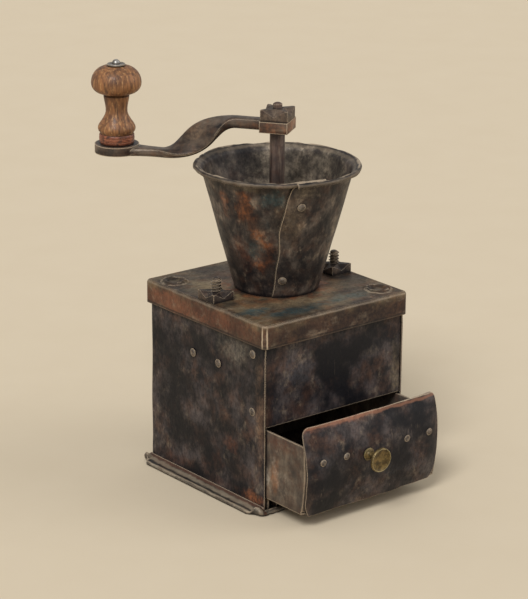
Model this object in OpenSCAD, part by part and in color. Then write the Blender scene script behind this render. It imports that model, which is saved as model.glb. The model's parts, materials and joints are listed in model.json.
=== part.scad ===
// Box coffee mill of riveted sheet iron: a square housing with a slip-over lid,
// a conical hopper, cast conical burrs, a forged crank with a turned handle and
// a drawer for the ground coffee.
// Frame: origin in the middle of the base on the table, front towards -Y, +Z up.

/* [Housing] */
// Width over the two side walls
body_w = 127; // [118:1:140]
// Depth over the side walls, from their front edges to the back wall
body_d = 134; // [124:1:145]
// Height of the lid's top above the table
lid_top = 140; // [134:1:160]
// Thickness of the sheet iron of the walls
wall_t = 1.2; // [0.8:0.1:1.6]
// Outer radius of the bends at the back corners
wrap_r = 4; // [2.5:0.5:8]
// How far the front panel stands back from the side walls' edges
panel_back = 1; // [0.4:0.1:3]
// Depth of the flanges that rivet the front panel to the side walls
flange_l = 17; // [14:1:24]
// Height of the fold along the front panel's lower edge
panel_fold = 5; // [3:0.5:8]

/* [Lid] */
// Thickness of the lid's sheet
lid_t = 1.4; // [1:0.1:2]
// Gap between the lid's rim and the side walls
lid_gap_x = 1.1; // [0.3:0.1:2]
// Gap between the lid's rim and the front and back
lid_gap_y = 0.8; // [0.3:0.1:2]
// Height of the lid's rim
rim_h = 17; // [12:1:24]
// Radius of the lid's upright corners
lid_r = 4; // [3:0.5:8]
// Radius of the bend between the lid's top and its rim
lid_edge_r = 2.2; // [1.8:0.1:3]
// Diameter of the pressed bosses
boss_d = 22; // [16:1:24]
// Height of the pressed bosses
boss_h = 1.3; // [0.6:0.1:2]
// Place of a boss in from the side wall
boss_in_x = 11; // [11:0.5:16]
// Place of a boss in from the front or back
boss_in_y = 15.5; // [12:0.5:20]

/* [Base] */
// Thickness of the base sheet
base_t = 1.2; // [0.8:0.1:2]
// How far the base's skirts stand out from the side walls
skirt_out = 10; // [7:0.5:14]
// Height of the skirts at the side walls
skirt_h = 5.5; // [4:0.5:9]
// Diameter of the hem along the skirts
hem_d = 2.6; // [2:0.1:3.4]
// Diameter of the rolled lip at the front and back
lip_d = 3; // [2:0.1:4]
// Distance from the side walls at which the rolled lips end
lip_in = 3; // [2:0.5:8]
// Length of the cut across each corner of the base
corner_cut = 9; // [6:0.5:12]

/* [Bridge and bolts] */
// Width of the bridge bar that crosses the housing
bridge_w = 21; // [16:1:22]
// Thickness of the bridge bar
bridge_t = 4; // [3:0.5:6]
// Width of the bridge's feet on the side walls
foot_w = 40; // [38:1:50]
// Height of the bridge's feet on the side walls
foot_h = 16; // [12:1:20]
// Thickness of the bridge's feet
foot_t = 3; // [2:0.5:5]
// Outer radius of the ring in the middle of the bridge
ring_r = 36; // [34:1:40]
// Distance between the two rivets of a foot
foot_rivets = 29.2; // [24:0.2:31]
// Diameter of the hold-down bolts
bolt_d = 7.2; // [6:0.2:8]
// Place of a bolt in from the side wall
bolt_in = 9; // [8.5:0.5:14]
// How far a bolt stands out above its nut
bolt_over = 9.5; // [4:0.5:14]
// Width across the flats of the square nuts
nut_w = 18; // [14:0.5:20]
// Thickness of the square nuts
nut_t = 6.5; // [5:0.5:9]
// Depth of the notch in the middle of each side of a lid nut
notch = 4; // [1:0.5:5]
// Width of a bolt's square head
bolt_head_w = 9.4; // [8:0.2:10]
// Thickness of a bolt's square head
bolt_head_t = 4; // [3:0.5:6]

/* [Rivets] */
// Diameter of the rivet heads on the housing
rivet_head = 5.4; // [4.6:0.2:7]
// Height of the rivet heads
rivet_rise = 1.6; // [0.8:0.1:2.4]
// Diameter of the rivet shanks
rivet_d = 3; // [2:0.1:4]
// Place of the corner rivets behind the side walls' front edges
corner_rivet_in = 13.5; // [9:0.5:14]
// Height of the upper corner rivets below the lid's top
corner_rivet_hi = 24.5; // [22:0.5:30]
// Height of the lower corner rivets above the drawer opening
corner_rivet_lo = 9; // [6:0.5:16]

/* [Hopper] */
// Height of the hopper above the lid
hopper_h = 91.4; // [80:0.2:110]
// Outer radius of the hopper at the lid
hopper_foot_r = 29.6; // [28:0.2:32]
// Outer radius of the cone below its flared rim
hopper_mouth_r = 55; // [48:0.5:58]
// Outer radius of the flared rim
hopper_rim_r = 58.6; // [56:0.2:62]
// Height of the flared rim
hopper_flare_h = 4; // [2:0.5:8]
// Thickness of the hopper's sheet
hopper_t = 1.3; // [0.8:0.1:1.6]
// Width of the lap where the sheet's ends overlap, in degrees
lap = 22; // [14:1:30]
// Plan angle of the lap's visible edge at the rim
lap_top = 245; // [200:1:280]
// Plan angle of the lap's visible edge at the lid
lap_foot = 225; // [200:1:280]
// Height of the lower lap rivet above the lid
lap_rivet_lo = 14; // [8:0.5:24]
// Height of the upper lap rivet above the lid
lap_rivet_hi = 71.5; // [60:0.5:76]
// Place of the lap rivets behind the lap's visible edge, in degrees
lap_rivet_in = 10; // [6:0.5:12]
// Depth of the dents in the rim
rim_wave = 0.45; // [0:0.05:0.8]

/* [Burrs] */
// Height of the burr shell below the lid
shell_h = 38.6; // [34:0.2:44]
// Height of the shell's neck above the lid
neck_h = 4; // [2:0.5:8]
// Wall of the shell's neck
neck_wall = 4; // [3:0.5:6]
// Radius of the shell's clamping flange
shell_flange_r = 34; // [32:0.5:38]
// Thickness of the shell's clamping flange
shell_flange_t = 4; // [3:0.5:6]
// Outer radius of the shell at its foot
shell_foot_r = 27; // [26:0.5:30]
// Radius of the grinding bore at its lower end
grind_r = 21.4; // [20:0.2:23]
// Radius of the grinding bore at its upper end
grind_top_r = 20; // [18:0.2:20.5]
// Height of the grinding bore
grind_h = 28; // [22:1:30]
// Gap between the burrs at their lower end
burr_gap = 0.6; // [0.4:0.1:1.2]
// Radius of the inner burr at its upper end
burr_top_r = 9.5; // [8.5:0.5:12]
// Height of the inner burr
burr_h = 24; // [20:1:27]
// Chamfer at the inner burr's foot
burr_chamfer = 1.5; // [0.5:0.1:3]
// Height of the plain band at the inner burr's foot
burr_band = 5; // [3:0.5:8]
// Height at which the inner burr's grooves start
groove_from = 3; // [2:0.5:6]
// Number of teeth on the inner burr
burr_teeth = 10; // [6:1:14]
// Number of teeth in the shell
shell_teeth = 16; // [8:1:20]
// Depth of the teeth
tooth_deep = 1.8; // [1:0.1:2.4]
// Slant of the teeth, in degrees
tooth_slant = 18; // [0:1:30]
// Height of the shaft guide's spokes
guide_h = 5; // [3:0.5:7]
// Width of the shaft guide's spokes
spoke_w = 5; // [4:0.5:8]

/* [Regulator] */
// Width of the yoke's strap
yoke_w = 12; // [10:1:18]
// Thickness of the yoke's strap
yoke_t = 3; // [2:0.5:4]
// Diameter of the regulating screw
screw_d = 8; // [6:0.5:9]
// Diameter of the screw's thumb wheel
wheel_d = 18; // [14:1:24]
// Thickness of the screw's thumb wheel
wheel_t = 3; // [2:0.5:4]
// Width of the square lock nut
lock_w = 13; // [11:0.5:18]
// Thickness of the lock nut
lock_t = 4; // [3:0.5:5]

/* [Shaft and crank] */
// Diameter of the shaft
shaft_d = 10.8; // [9:0.2:12]
// Running clearance round the shaft, on the radius
run_fit = 0.06; // [0.02:0.01:0.1]
// Height of the crank's head above the hopper's rim
head_over = 23.1; // [22:0.1:30]
// Length of the crank's head along the arm
head_l = 20.5; // [17:0.5:24]
// Width of the crank's head
head_w = 23; // [19:0.5:26]
// Thickness of the crank's head
head_t = 8; // [6:0.5:10]
// Width across the flats of the crank's nut
crank_nut_w = 20; // [16:0.5:24]
// Thickness of the crank's nut
crank_nut_t = 8; // [6:0.5:10]
// Depth of the notch in the middle of each side of the crank's nut
crank_notch = 5; // [1:0.5:6]
// Side of the square on the shaft that drives the crank
square_w = 7.6; // [6:0.2:8]
// Diameter of the shaft's threaded end
thread_d = 6.7; // [5:0.1:7]
// Height of the threaded end above its nut
thread_over = 4.5; // [2:0.5:8]
// Radius of the crank, from the shaft to the handle
crank_r = 120; // [105:1:140]
// Plan angle of the crank arm
arm_angle = 125; // [0:1:359]
// Drop of the arm from its head to its eye
arm_drop = 26.9; // [20:0.1:29]
// Distance from the shaft at which the arm starts to drop
drop_start = 30; // [20:1:40]
// Distance from the shaft at which the drop ends
drop_end = 86; // [74:1:100]
// Width of the arm at its ends
arm_w = 10.5; // [7:0.5:13]
// Width of the twisted leaf in the middle of the arm
leaf_w = 21; // [12:0.5:24]
// Thickness of the arm at its head
arm_t = 8.2; // [5:0.1:9]
// Thickness of the arm at its eye
arm_eye_t = 6.2; // [4:0.1:7]
// Width that the arm gains as it runs into its eye
eye_flare = 10; // [0:0.5:12]
// Thickness of the twisted leaf
leaf_t = 4.4; // [3:0.1:6]
// Twist of the leaf, in degrees
leaf_bank = 60; // [0:1:65]
// Diameter of the eye that holds the handle
eye_d = 32; // [26:0.5:36]
// Thickness of the eye
eye_t = 6.4; // [5:0.1:9]

/* [Handle] */
// Diameter of the spindle that the handle turns on
spindle_d = 7; // [5:0.2:8]
// Height of the handle from the eye to its washer
grip_h = 56.6; // [48:0.2:64]
// Diameter of the ring at the handle's foot
ferrule_d = 25.4; // [22:0.2:28]
// Height of the ring at the handle's foot
ferrule_h = 7.2; // [5:0.2:9]
// Largest diameter of the bulb above the ring
bulb_d = 27.2; // [24:0.2:30]
// Height of the bulb's widest place above the ring
bulb_z = 4.2; // [3:0.2:8]
// Height of the waist above the ring
waist_z = 17; // [12:0.2:20]
// Height above the ring at which the knob starts to swell
neck_z = 29.4; // [24:0.2:32]
// Height of the knob's widest place above the ring
knob_z = 37.3; // [34:0.1:40]
// Diameter of the handle's waist
waist_d = 15.6; // [13:0.2:18]
// Largest diameter of the handle's knob
grip_knob_d = 36.2; // [30:0.2:40]
// Diameter of the washer on the handle
washer_d = 12.7; // [10.5:0.1:15]
// Thickness of the washer on the handle
washer_t = 1.3; // [0.8:0.1:2]
// Diameter of the spindle's riveted end
peen_d = 6; // [4:0.5:8]
// Height of the spindle's riveted end
peen_h = 3; // [1:0.5:4]
// Play between the handle and what holds it
grip_play = 0.3; // [0.2:0.05:0.6]

/* [Drawer] */
// How far the drawer stands open
drawer_open = 39; // [0:1:80]
// Depth of the tray, front to back
tray_l = 130; // [100:1:131]
// Height of the tray
tray_h = 50.5; // [42:0.5:54]
// Thickness of the tray's sheet
tray_t = 1.2; // [0.8:0.1:1.6]
// Gap between the tray and each side wall
tray_gap = 0.8; // [0.4:0.1:2]
// Gap between the tray and the front panel's lower edge
tray_over = 1.5; // [0.6:0.1:3]
// Height of the runners that carry the drawer
runner_h = 10.5; // [6:0.5:14]
// Width of the runners
runner_w = 9; // [6:0.5:14]
// Play between the drawer and its runners
runner_play = 0.3; // [0.2:0.1:0.8]
// How far the drawer's front reaches past the tray on each side
front_past = 0.5; // [0.2:0.1:1]
// How far the front reaches above the tray
front_over = 14; // [8:0.5:18]
// How far the front reaches below the tray
front_under = 2; // [0:0.5:4]
// How far the front bulges out in its middle
bulge = 6; // [2:0.5:8]
// Radius of the front's upper corners
front_r = 6; // [3:0.5:10]
// How much narrower the front is at its foot, on each side
front_taper = 4; // [0:0.5:6]
// Height over which the front narrows to its foot
front_taper_h = 12; // [6:0.5:20]
// Width of the strip at each end of the front that curls back
curl_w = 16; // [8:0.5:26]
// How far the front's ends curl back
curl = 1.6; // [0:0.1:2]
// Distance of the inner front rivets from the middle
front_rivet_in = 28; // [22:0.5:32]
// Distance that the tray's tabs run in past their rivets
tab_past = 6; // [4:0.5:9]
// Distance of the outer front rivets in from the tray's sides
front_rivet_side = 12.5; // [8:0.5:18]
// Height of the front rivets above the tray's floor
front_rivet_z = 38; // [28:0.5:44]
// Diameter of the front rivets' heads
front_rivet_head = 4.8; // [4:0.2:6]

/* [Drawer pull] */
// Diameter of the brass pull
pull_d = 18; // [14:0.5:22]
// How far the pull stands out from the drawer's front
pull_out = 14; // [10:0.5:18]
// Diameter of the pull's stem
pull_stem_d = 6; // [5:0.2:8]
// Diameter of the pull's foot
pull_foot_d = 9; // [8:0.5:12]
// Height of the pull above the tray's floor
pull_z = 35; // [26:0.5:42]
// Place of the pull to the side of the front's middle
pull_x = -8; // [-12:0.5:12]
// Diameter of the pull's screw
pull_screw_d = 4; // [3:0.2:5]
// Width of the pull's square nut
pull_nut_w = 9; // [7:0.5:12]
// Thickness of the pull's square nut
pull_nut_t = 2.6; // [2:0.2:4]

/* [Hidden] */
$fn = 64;

// Gap that keeps a cut clear of the face it breaks
eps = 0.01;
// Clearance of a shank in its hole, on the radius
hole_fit = 0.05;
// Diameter and thickness of a rivet's closed end
tail_d = 4.6;
tail_t = 0.8;
// Length of the cutters that drill the drawer's front
drill_l = 8 * tray_t;
// Air between the two layers of the hopper's lap
lap_gap = 0.1;
// Angle between the points round the hopper, a part of a full turn
turn_step = 5;

// Heights of the housing
wall_top = lid_top - lid_t;
tray_z = base_t + runner_h + runner_play;
tray_top = tray_z + tray_h;
panel_z = tray_top + tray_over;
side_x = body_w / 2;
side_in = side_x - wall_t;
front_y = -body_d / 2;
back_y = body_d / 2;
panel_y = front_y + panel_back;
base_x = side_x + skirt_out;

// Places of the bridge and of what hangs from it
bridge_top = wall_top - shell_h;
bridge_z = bridge_top - bridge_t;
rivet_z = bridge_top - bridge_t / 2;
bolt_x = side_x - bolt_in;
shell_neck_r = hopper_foot_r - hopper_t - 0.3;
throat_r = shell_neck_r - neck_wall;
guide_z = bridge_top + grind_h;
corner_rivet_y = front_y + corner_rivet_in;
corner_rivet_z = [lid_top - corner_rivet_hi, panel_z + corner_rivet_lo];

// Places of the regulator and of the shaft's foot
wheel_gap = 1.8;
lock_gap = 0.6;
yoke_side_gap = 2;
yoke_rivet_out = 5.5;
wheel_z = tray_top + wheel_gap;
lock_z = wheel_z + wheel_t + lock_gap;
yoke_z = lock_z + lock_t;
yoke_boss = 6;
yoke_boss_wall = 4;
yoke_lug = 4;
boss_z = yoke_z + yoke_t + yoke_boss;
foot_in = 4;
foot_gap = 0.3;
foot_z = boss_z - foot_in;
shoulder_z = boss_z + 2 * foot_gap;
pin_up = 6;
pin_in = 3;
yoke_leg_y = grind_r + yoke_side_gap;
yoke_rivet_y = yoke_leg_y + yoke_t + yoke_rivet_out;

// Places of the crank and of the handle
rim_z = lid_top + hopper_h;
head_z = rim_z + head_over;
nut_z = head_z + head_t;
shaft_top = nut_z + crank_nut_t + thread_over;
arm_z_head = head_z + head_t - arm_t / 2;
arm_z_eye = arm_z_head - arm_drop;
eye_z = arm_z_eye - 2.2;
grip_z = eye_z + eye_t + grip_play;
washer_z = grip_z + grip_h + grip_play;
wood_h = grip_h - ferrule_h;
wood_top_r = washer_d / 2 - 0.6;
neck_swell = 1.6;

// Places of the drawer
tray_x = side_in - tray_gap;
front_w = 2 * (tray_x + front_past);
front_h = front_under + tray_h + front_over;
front_rivet_out = tray_x - front_rivet_side;
curl_from = front_w / 2 - curl_w;
front_foot = tray_z - front_under;
front_mid = front_foot + front_h / 2;
front_back = front_y - 0.4 - drawer_open;
tray_back = front_back + tray_l;
pull_screw_l = tray_t + pull_nut_t + 2.1;

// ---------- helpers ----------

// Upright prism over a rectangle with round corners
module rounded_slab(w, d, h, r) {
    linear_extrude(h)
        union() {
            square([w - 2 * r, d], center = true);
            square([w, d - 2 * r], center = true);
            for (x = [-1, 1], y = [-1, 1])
                translate([x * (w / 2 - r), y * (d / 2 - r)])
                    circle(r);
        }
}

// Rectangle that stands on the X axis, with its upper corners rounded
module arch(w, h, r) {
    translate([-w / 2, 0])
        square([w, h - r]);
    translate([-w / 2 + r, 0])
        square([w - 2 * r, h]);
    for (x = [-1, 1])
        translate([x * (w / 2 - r), h - r])
            circle(r);
}

// Box with round upright corners and round upper edges
module cap(w, d, h, r, edge) {
    intersection() {
        rounded_slab(w, d, h, r);
        rotate([90, 0, 0])
            translate([0, 0, -d])
                linear_extrude(2 * d)
                    arch(w, h, edge);
        rotate([90, 0, 90])
            translate([0, 0, -w])
                linear_extrude(2 * w)
                    arch(d, h, edge);
    }
}

// Round head: the cap of a sphere, standing on z = 0
module dome(d, h) {
    r = (h * h + d * d / 4) / (2 * h);
    intersection() {
        translate([0, 0, h - r])
            sphere(r);
        cylinder(d = d + 1, h = h + 1);
    }
}

// Rivet through a grip below z = 0, with its head above
module rivet(head, rise, grip) {
    dome(head, rise);
    translate([0, 0, -grip - tail_t])
        cylinder(d = rivet_d, h = grip + tail_t + eps);
    translate([0, 0, -grip - tail_t])
        cylinder(d = tail_d, h = tail_t);
}

// Point of a four-sided file, with its tip at the origin and its mouth towards +X
module file_point(reach, half, deep) {
    polyhedron(
        points = [[0, 0, 0], [reach, half, 0], [reach, 0, -deep], [reach, -half, 0], [reach, 0, deep]],
        faces = [[0, 2, 1], [0, 3, 2], [0, 4, 3], [0, 1, 4], [1, 2, 3, 4]]);
}

// Square nut with a notch filed into the middle of each side, from its bore outwards
module notched_nut(w, t, bore, deep) {
    tip = bore / 2 + 0.4;
    mouth = 0.41 * w;
    past = 1 + 1 / (w / 2 - tip);
    difference() {
        translate([-w / 2, -w / 2, 0])
            cube([w, w, t]);
        translate([0, 0, -1])
            cylinder(d = bore, h = t + 2);
        for (k = [0:3])
            rotate([0, 0, 90 * k])
                translate([tip, 0, t])
                    file_point((w / 2 - tip) * past, mouth * past, deep * past);
    }
}

// Places of the two rivets in each foot of the bridge, on one side
module at_foot_rivets(side) {
    for (y = [-1, 1])
        translate([side * side_x, y * foot_rivets / 2, rivet_z])
            rotate([0, side * 90, 0])
                children();
}

// Places of the two corner rivets on one side
module at_corner_rivets(side) {
    for (z = corner_rivet_z)
        translate([side * side_x, corner_rivet_y, z])
            rotate([0, side * 90, 0])
                children();
}

// Triangles across a ring whose points k and n - 1 - k face each other
function cap_faces(first, n) = [for (k = [0:n / 2 - 2])
    each [[first + k, first + k + 1, first + n - 2 - k],
          [first + k, first + n - 2 - k, first + n - 1 - k]]];
function turned(faces) = [for (f = faces) [f[2], f[1], f[0]]];

// Triangles of a closed skin over rings of n points each, where each ring
// runs clockwise when it is seen from the first ring's side
function skin_faces(rings, n) = concat(
    turned(cap_faces(0, n)),
    [for (i = [0:rings - 2], k = [0:n - 1])
        [i * n + k, i * n + (k + 1) % n, (i + 1) * n + k]],
    [for (i = [0:rings - 2], k = [0:n - 1])
        [i * n + (k + 1) % n, (i + 1) * n + (k + 1) % n, (i + 1) * n + k]],
    cap_faces((rings - 1) * n, n));

// ---------- housing ----------

// Half section of the base's skirt and hem, with X away from the wall
module skirt_section() {
    hem = hem_d / 2;
    translate([skirt_out - hem, hem])
        circle(hem);
    polygon([[0, skirt_h], [0, skirt_h - base_t * 1.2],
             [skirt_out - hem_d, hem_d - base_t], [skirt_out - hem, hem_d]]);
}

// Folded and flattened corner of the base
module pleat() {
    far = skirt_out - hem_d / 2;
    lip = lip_d / 2 + 0.6;
    low = base_t / 2;
    polyhedron(
        points = [[0, 0, low], [far, corner_cut, low], [far + 0.8, corner_cut / 2, low],
                  [corner_cut / 2, -lip, low], [-1, -lip, low], [0.3, 0, skirt_h - 0.6],
                  [far - 1.5, corner_cut, hem_d], [far - 1, corner_cut / 2, hem_d + 0.7],
                  [corner_cut / 2, -lip / 2, lip_d + 0.4], [-1, -lip / 2, lip_d],
                  [0, corner_cut, low], [0.2, corner_cut, skirt_h - 0.4]],
        faces = [[0, 4, 3, 2, 1, 10], [1, 2, 7], [1, 7, 6], [2, 3, 8], [2, 8, 7], [3, 4, 9], [3, 9, 8],
                 [5, 9, 4], [5, 4, 0], [5, 0, 10], [5, 10, 11], [10, 1, 6], [10, 6, 11],
                 [5, 11, 6], [5, 6, 7], [5, 7, 8], [5, 8, 9]]);
}

// Sheet that the mill stands on, folded up into skirts at the sides
module base_pan() {
    far = base_x - hem_d / 2;
    skirt_l = body_d - 2 * corner_cut;
    lip_y = body_d / 2 + lip_d / 2 + 0.05;
    color([0.36, 0.34, 0.31])
        union() {
            linear_extrude(base_t)
                polygon([[-far, -skirt_l / 2], [-side_x + 2, -lip_y], [side_x - 2, -lip_y], [far, -skirt_l / 2],
                         [far, skirt_l / 2], [side_x - 2, lip_y], [-side_x + 2, lip_y], [-far, skirt_l / 2]]);
            for (side = [-1, 1])
                translate([side * side_x, side * skirt_l / 2, 0])
                    rotate([90, 0, side > 0 ? 0 : 180])
                        linear_extrude(skirt_l)
                            skirt_section();
            for (end = [-1, 1])
                translate([-side_x + lip_in, end * lip_y, lip_d / 2])
                    rotate([0, 90, 0])
                        cylinder(d = lip_d, h = body_w - 2 * lip_in);
            for (x = [-1, 1], y = [-1, 1])
                translate([x * side_x, y * body_d / 2, 0])
                    mirror([x < 0 ? 1 : 0, 0, 0])
                        mirror([0, y > 0 ? 1 : 0, 0])
                            pleat();
        }
}

// Outline of the wrapped sheet, open at the front
module wrap_outline(w, back, r) {
    translate([-w / 2, front_y - 1])
        square([w, back - r - front_y + 1]);
    translate([-w / 2 + r, front_y - 1])
        square([w - 2 * r, back - front_y + 1]);
    for (x = [-1, 1])
        translate([x * (w / 2 - r), back - r])
            circle(r);
}

// One sheet bent round the left, back and right of the housing
module body_wrap() {
    color([0.13, 0.12, 0.12])
        difference() {
            translate([0, 0, base_t])
                linear_extrude(wall_top - base_t)
                    difference() {
                        wrap_outline(body_w, back_y, wrap_r);
                        wrap_outline(2 * side_in, back_y - wall_t, wrap_r - wall_t);
                        translate([-body_w, front_y - 2])
                            square([2 * body_w, 2]);
                    }
            for (side = [-1, 1]) {
                at_foot_rivets(side)
                    translate([0, 0, -wall_t - 1])
                        cylinder(r = rivet_d / 2 + hole_fit, h = wall_t + 2);
                at_corner_rivets(side)
                    translate([0, 0, -wall_t - 1])
                        cylinder(r = rivet_d / 2 + hole_fit, h = wall_t + 2);
            }
        }
}

// Sheet above the drawer, with a flange along each side wall
module front_panel() {
    h = wall_top - panel_z;
    color([0.14, 0.13, 0.13])
        difference() {
            union() {
                translate([-side_in, panel_y, panel_z])
                    cube([2 * side_in, wall_t, h]);
                translate([-side_in, panel_y + wall_t - eps, panel_z])
                    cube([2 * side_in, wall_t + eps, panel_fold]);
                for (side = [-1, 1])
                    translate([side > 0 ? side_in - wall_t : -side_in, panel_y, panel_z])
                        cube([wall_t, flange_l, h]);
            }
            for (side = [-1, 1])
                at_corner_rivets(side)
                    translate([0, 0, -2 * wall_t - 1])
                        cylinder(r = rivet_d / 2 + hole_fit, h = 2 * wall_t + 2);
        }
}

// Rivets that join the front panel's flanges to the side walls
module corner_rivets() {
    color([0.42, 0.35, 0.28])
        for (side = [-1, 1])
            at_corner_rivets(side)
                rivet(rivet_head, rivet_rise, 2 * wall_t);
}

// Folded channels on the base that carry the drawer
module drawer_runners() {
    l = body_d - panel_back - wall_t - 2;
    inner = runner_w - 2 * base_t;
    color([0.25, 0.23, 0.21])
        for (side = [-1, 1])
            translate([side * (tray_x - runner_w / 2 - 3), -l / 2, base_t])
                difference() {
                    translate([-runner_w / 2, 0, 0])
                        cube([runner_w, l, runner_h]);
                    translate([-inner / 2, -1, -1])
                        cube([inner, l + 2, runner_h + 1 - base_t]);
                }
}

// Iron bar across the housing, with a ring under the burrs and riveted feet
module cross_bridge() {
    color([0.18, 0.16, 0.15])
        difference() {
            union() {
                translate([-side_in, -bridge_w / 2, bridge_z])
                    cube([2 * side_in, bridge_w, bridge_t]);
                translate([0, 0, bridge_z])
                    cylinder(r = ring_r, h = bridge_t);
                for (side = [-1, 1])
                    translate([side > 0 ? side_in - foot_t : -side_in, -foot_w / 2, rivet_z - foot_h / 2])
                        cube([foot_t, foot_w, foot_h]);
            }
            translate([0, 0, bridge_z - 1])
                cylinder(r = grind_r + 0.4, h = bridge_t + 2);
            for (side = [-1, 1]) {
                translate([side * bolt_x, 0, bridge_z - 1])
                    cylinder(r = bolt_d / 2 + hole_fit, h = bridge_t + 2);
                translate([0, side * yoke_rivet_y, bridge_z - 1])
                    cylinder(r = rivet_d / 2 + hole_fit, h = bridge_t + 2);
                at_foot_rivets(side)
                    translate([0, 0, -wall_t - foot_t - 1])
                        cylinder(r = rivet_d / 2 + hole_fit, h = wall_t + foot_t + 2);
            }
        }
}

// Rivets that hold the bridge's feet to the side walls
module bridge_rivets() {
    color([0.42, 0.35, 0.28])
        for (side = [-1, 1])
            at_foot_rivets(side)
                rivet(rivet_head, rivet_rise, wall_t + foot_t);
}

// Two long bolts from the bridge up through the lid
module hold_down_bolts() {
    top = lid_top + nut_t + bolt_over;
    chamfer = 0.8;
    color([0.20, 0.17, 0.15])
        for (side = [-1, 1])
            translate([side * bolt_x, 0, 0]) {
                translate([-bolt_head_w / 2, -bolt_head_w / 2, bridge_z - bolt_head_t])
                    cube([bolt_head_w, bolt_head_w, bolt_head_t]);
                translate([0, 0, bridge_z - eps])
                    cylinder(d = bolt_d, h = top - chamfer - bridge_z + eps);
                translate([0, 0, top - chamfer])
                    cylinder(d1 = bolt_d, d2 = bolt_d - 2 * chamfer, h = chamfer);
            }
}

// Section of a pressed boss: a low ring with a dished middle
module boss_section() {
    steps = 10;
    r = boss_d / 2;
    polygon(concat(
        [[0, -lid_t / 2]],
        [[r, -lid_t / 2]],
        [for (i = [0:steps]) [r * (1 - 0.35 * i / steps), boss_h * sin(90 * i / steps)]],
        [for (i = [1:steps]) [r * 0.65 * (1 - i / steps), boss_h * (0.35 + 0.65 * cos(90 * i / steps))]]));
}

// Slip-over lid with a deep rim
module lid() {
    w = body_w + 2 * (lid_gap_x + lid_t);
    d = body_d + 2 * (lid_gap_y + lid_t);
    color([0.33, 0.25, 0.18])
        difference() {
            union() {
                translate([0, 0, lid_top - rim_h])
                    cap(w, d, rim_h, lid_r, lid_edge_r);
                for (side = [-1, 1])
                    translate([side * (side_x - boss_in_x), -side * (body_d / 2 - boss_in_y), lid_top])
                        rotate_extrude()
                            boss_section();
            }
            translate([0, 0, lid_top - rim_h - 1])
                cap(w - 2 * lid_t, d - 2 * lid_t, rim_h + 1 - lid_t, lid_r - lid_t, lid_edge_r - lid_t);
            translate([0, 0, wall_top - 1])
                cylinder(r = shell_neck_r + 0.1, h = lid_t + 2);
            for (side = [-1, 1])
                translate([side * bolt_x, 0, wall_top - 1])
                    cylinder(r = bolt_d / 2 + hole_fit, h = lid_t + 2);
        }
}

// Notched square nuts that hold the lid down
module lid_nuts() {
    color([0.22, 0.18, 0.15])
        for (side = [-1, 1])
            translate([side * bolt_x, 0, lid_top])
                notched_nut(nut_w, nut_t, bolt_d + 2 * hole_fit, notch);
}

// ---------- hopper ----------

// Outer radius of the cone at a share of its height, with the flare at the rim
function hopper_r(z) = let (cone_h = hopper_h - hopper_flare_h)
    z <= cone_h
        ? hopper_foot_r + (hopper_mouth_r - hopper_foot_r) * z / cone_h
        : hopper_mouth_r + (hopper_rim_r - hopper_mouth_r) * pow((z - cone_h) / hopper_flare_h, 0.8);

// Heights of the rows of points up the hopper
function hopper_rows() = concat(
    [for (i = [0:5]) (hopper_h - hopper_flare_h) * i / 5],
    [for (i = [1:3]) hopper_h - hopper_flare_h + hopper_flare_h * i / 3]);

// Dents of the rim, which fade out below it
function dent(angle, z) = rim_wave * pow(z / hopper_h, 6)
    * (sin(5 * angle + 40) + 0.7 * sin(11 * angle) + 0.5 * sin(17 * angle + 90)) / 2.2;

// A point on the wound sheet; turn runs from the lap's visible edge
function hopper_point(turn, z, inner) = let (
    angle = lap_foot + (lap_top - lap_foot) * z / hopper_h + turn,
    wind = (hopper_t + lap_gap) * (1 - turn / 360),
    r = hopper_r(z) + wind + dent(angle, z) - (inner ? hopper_t : 0))
    [r * cos(angle), r * sin(angle), z + 1.2 * dent(angle + 50, z)];

// Places its children on each lap rivet, with Z out of the cone
module at_lap_rivets() {
    lean = atan((hopper_mouth_r - hopper_foot_r) / (hopper_h - hopper_flare_h));
    for (z = [lap_rivet_lo, lap_rivet_hi])
        rotate([0, 0, lap_foot + (lap_top - lap_foot) * z / hopper_h + lap_rivet_in])
            translate([hopper_r(z) + (hopper_t + lap_gap) * (1 - lap_rivet_in / 360), 0, lid_top + z])
                rotate([0, 90 + lean, 0])
                    children();
}

// Sheet wound into a cone, with its ends overlapping in a riveted lap
module hopper() {
    rows = hopper_rows();
    n = len(rows);
    turns = concat([for (i = [0:ceil((360 + lap) / turn_step) - 1]) turn_step * i], [360 + lap]);
    points = [for (turn = turns)
        each concat(
            [for (k = [0:n - 1]) hopper_point(turn, rows[k], false)],
            [for (k = [n - 1:-1:0]) hopper_point(turn, rows[k], true)])];
    color([0.24, 0.21, 0.19])
        difference() {
            translate([0, 0, lid_top])
                polyhedron(points = points, faces = skin_faces(len(turns), 2 * n));
            at_lap_rivets()
                translate([0, 0, -4 * hopper_t])
                    cylinder(r = rivet_d / 2 + hole_fit, h = 8 * hopper_t);
        }
}

// Rivets through the hopper's lap
module hopper_rivets() {
    color([0.45, 0.40, 0.34])
        at_lap_rivets()
            rivet(rivet_head, rivet_rise, 2 * hopper_t + lap_gap);
}

// ---------- burrs and regulator ----------

// Slanted grooves on a cone, between two radii and heights
module grooves(count, r_low, r_high, h, slant) {
    lean = atan((r_low - r_high) / h);
    l = 1.6 * h;
    for (k = [0:count - 1])
        rotate([0, 0, 360 * k / count])
            translate([(r_low + r_high) / 2, 0, h / 2])
                rotate([0, -lean, 0])
                    rotate([slant, 0, 0])
                        rotate([0, 0, 45])
                            cube([tooth_deep, tooth_deep, l], center = true);
}

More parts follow.
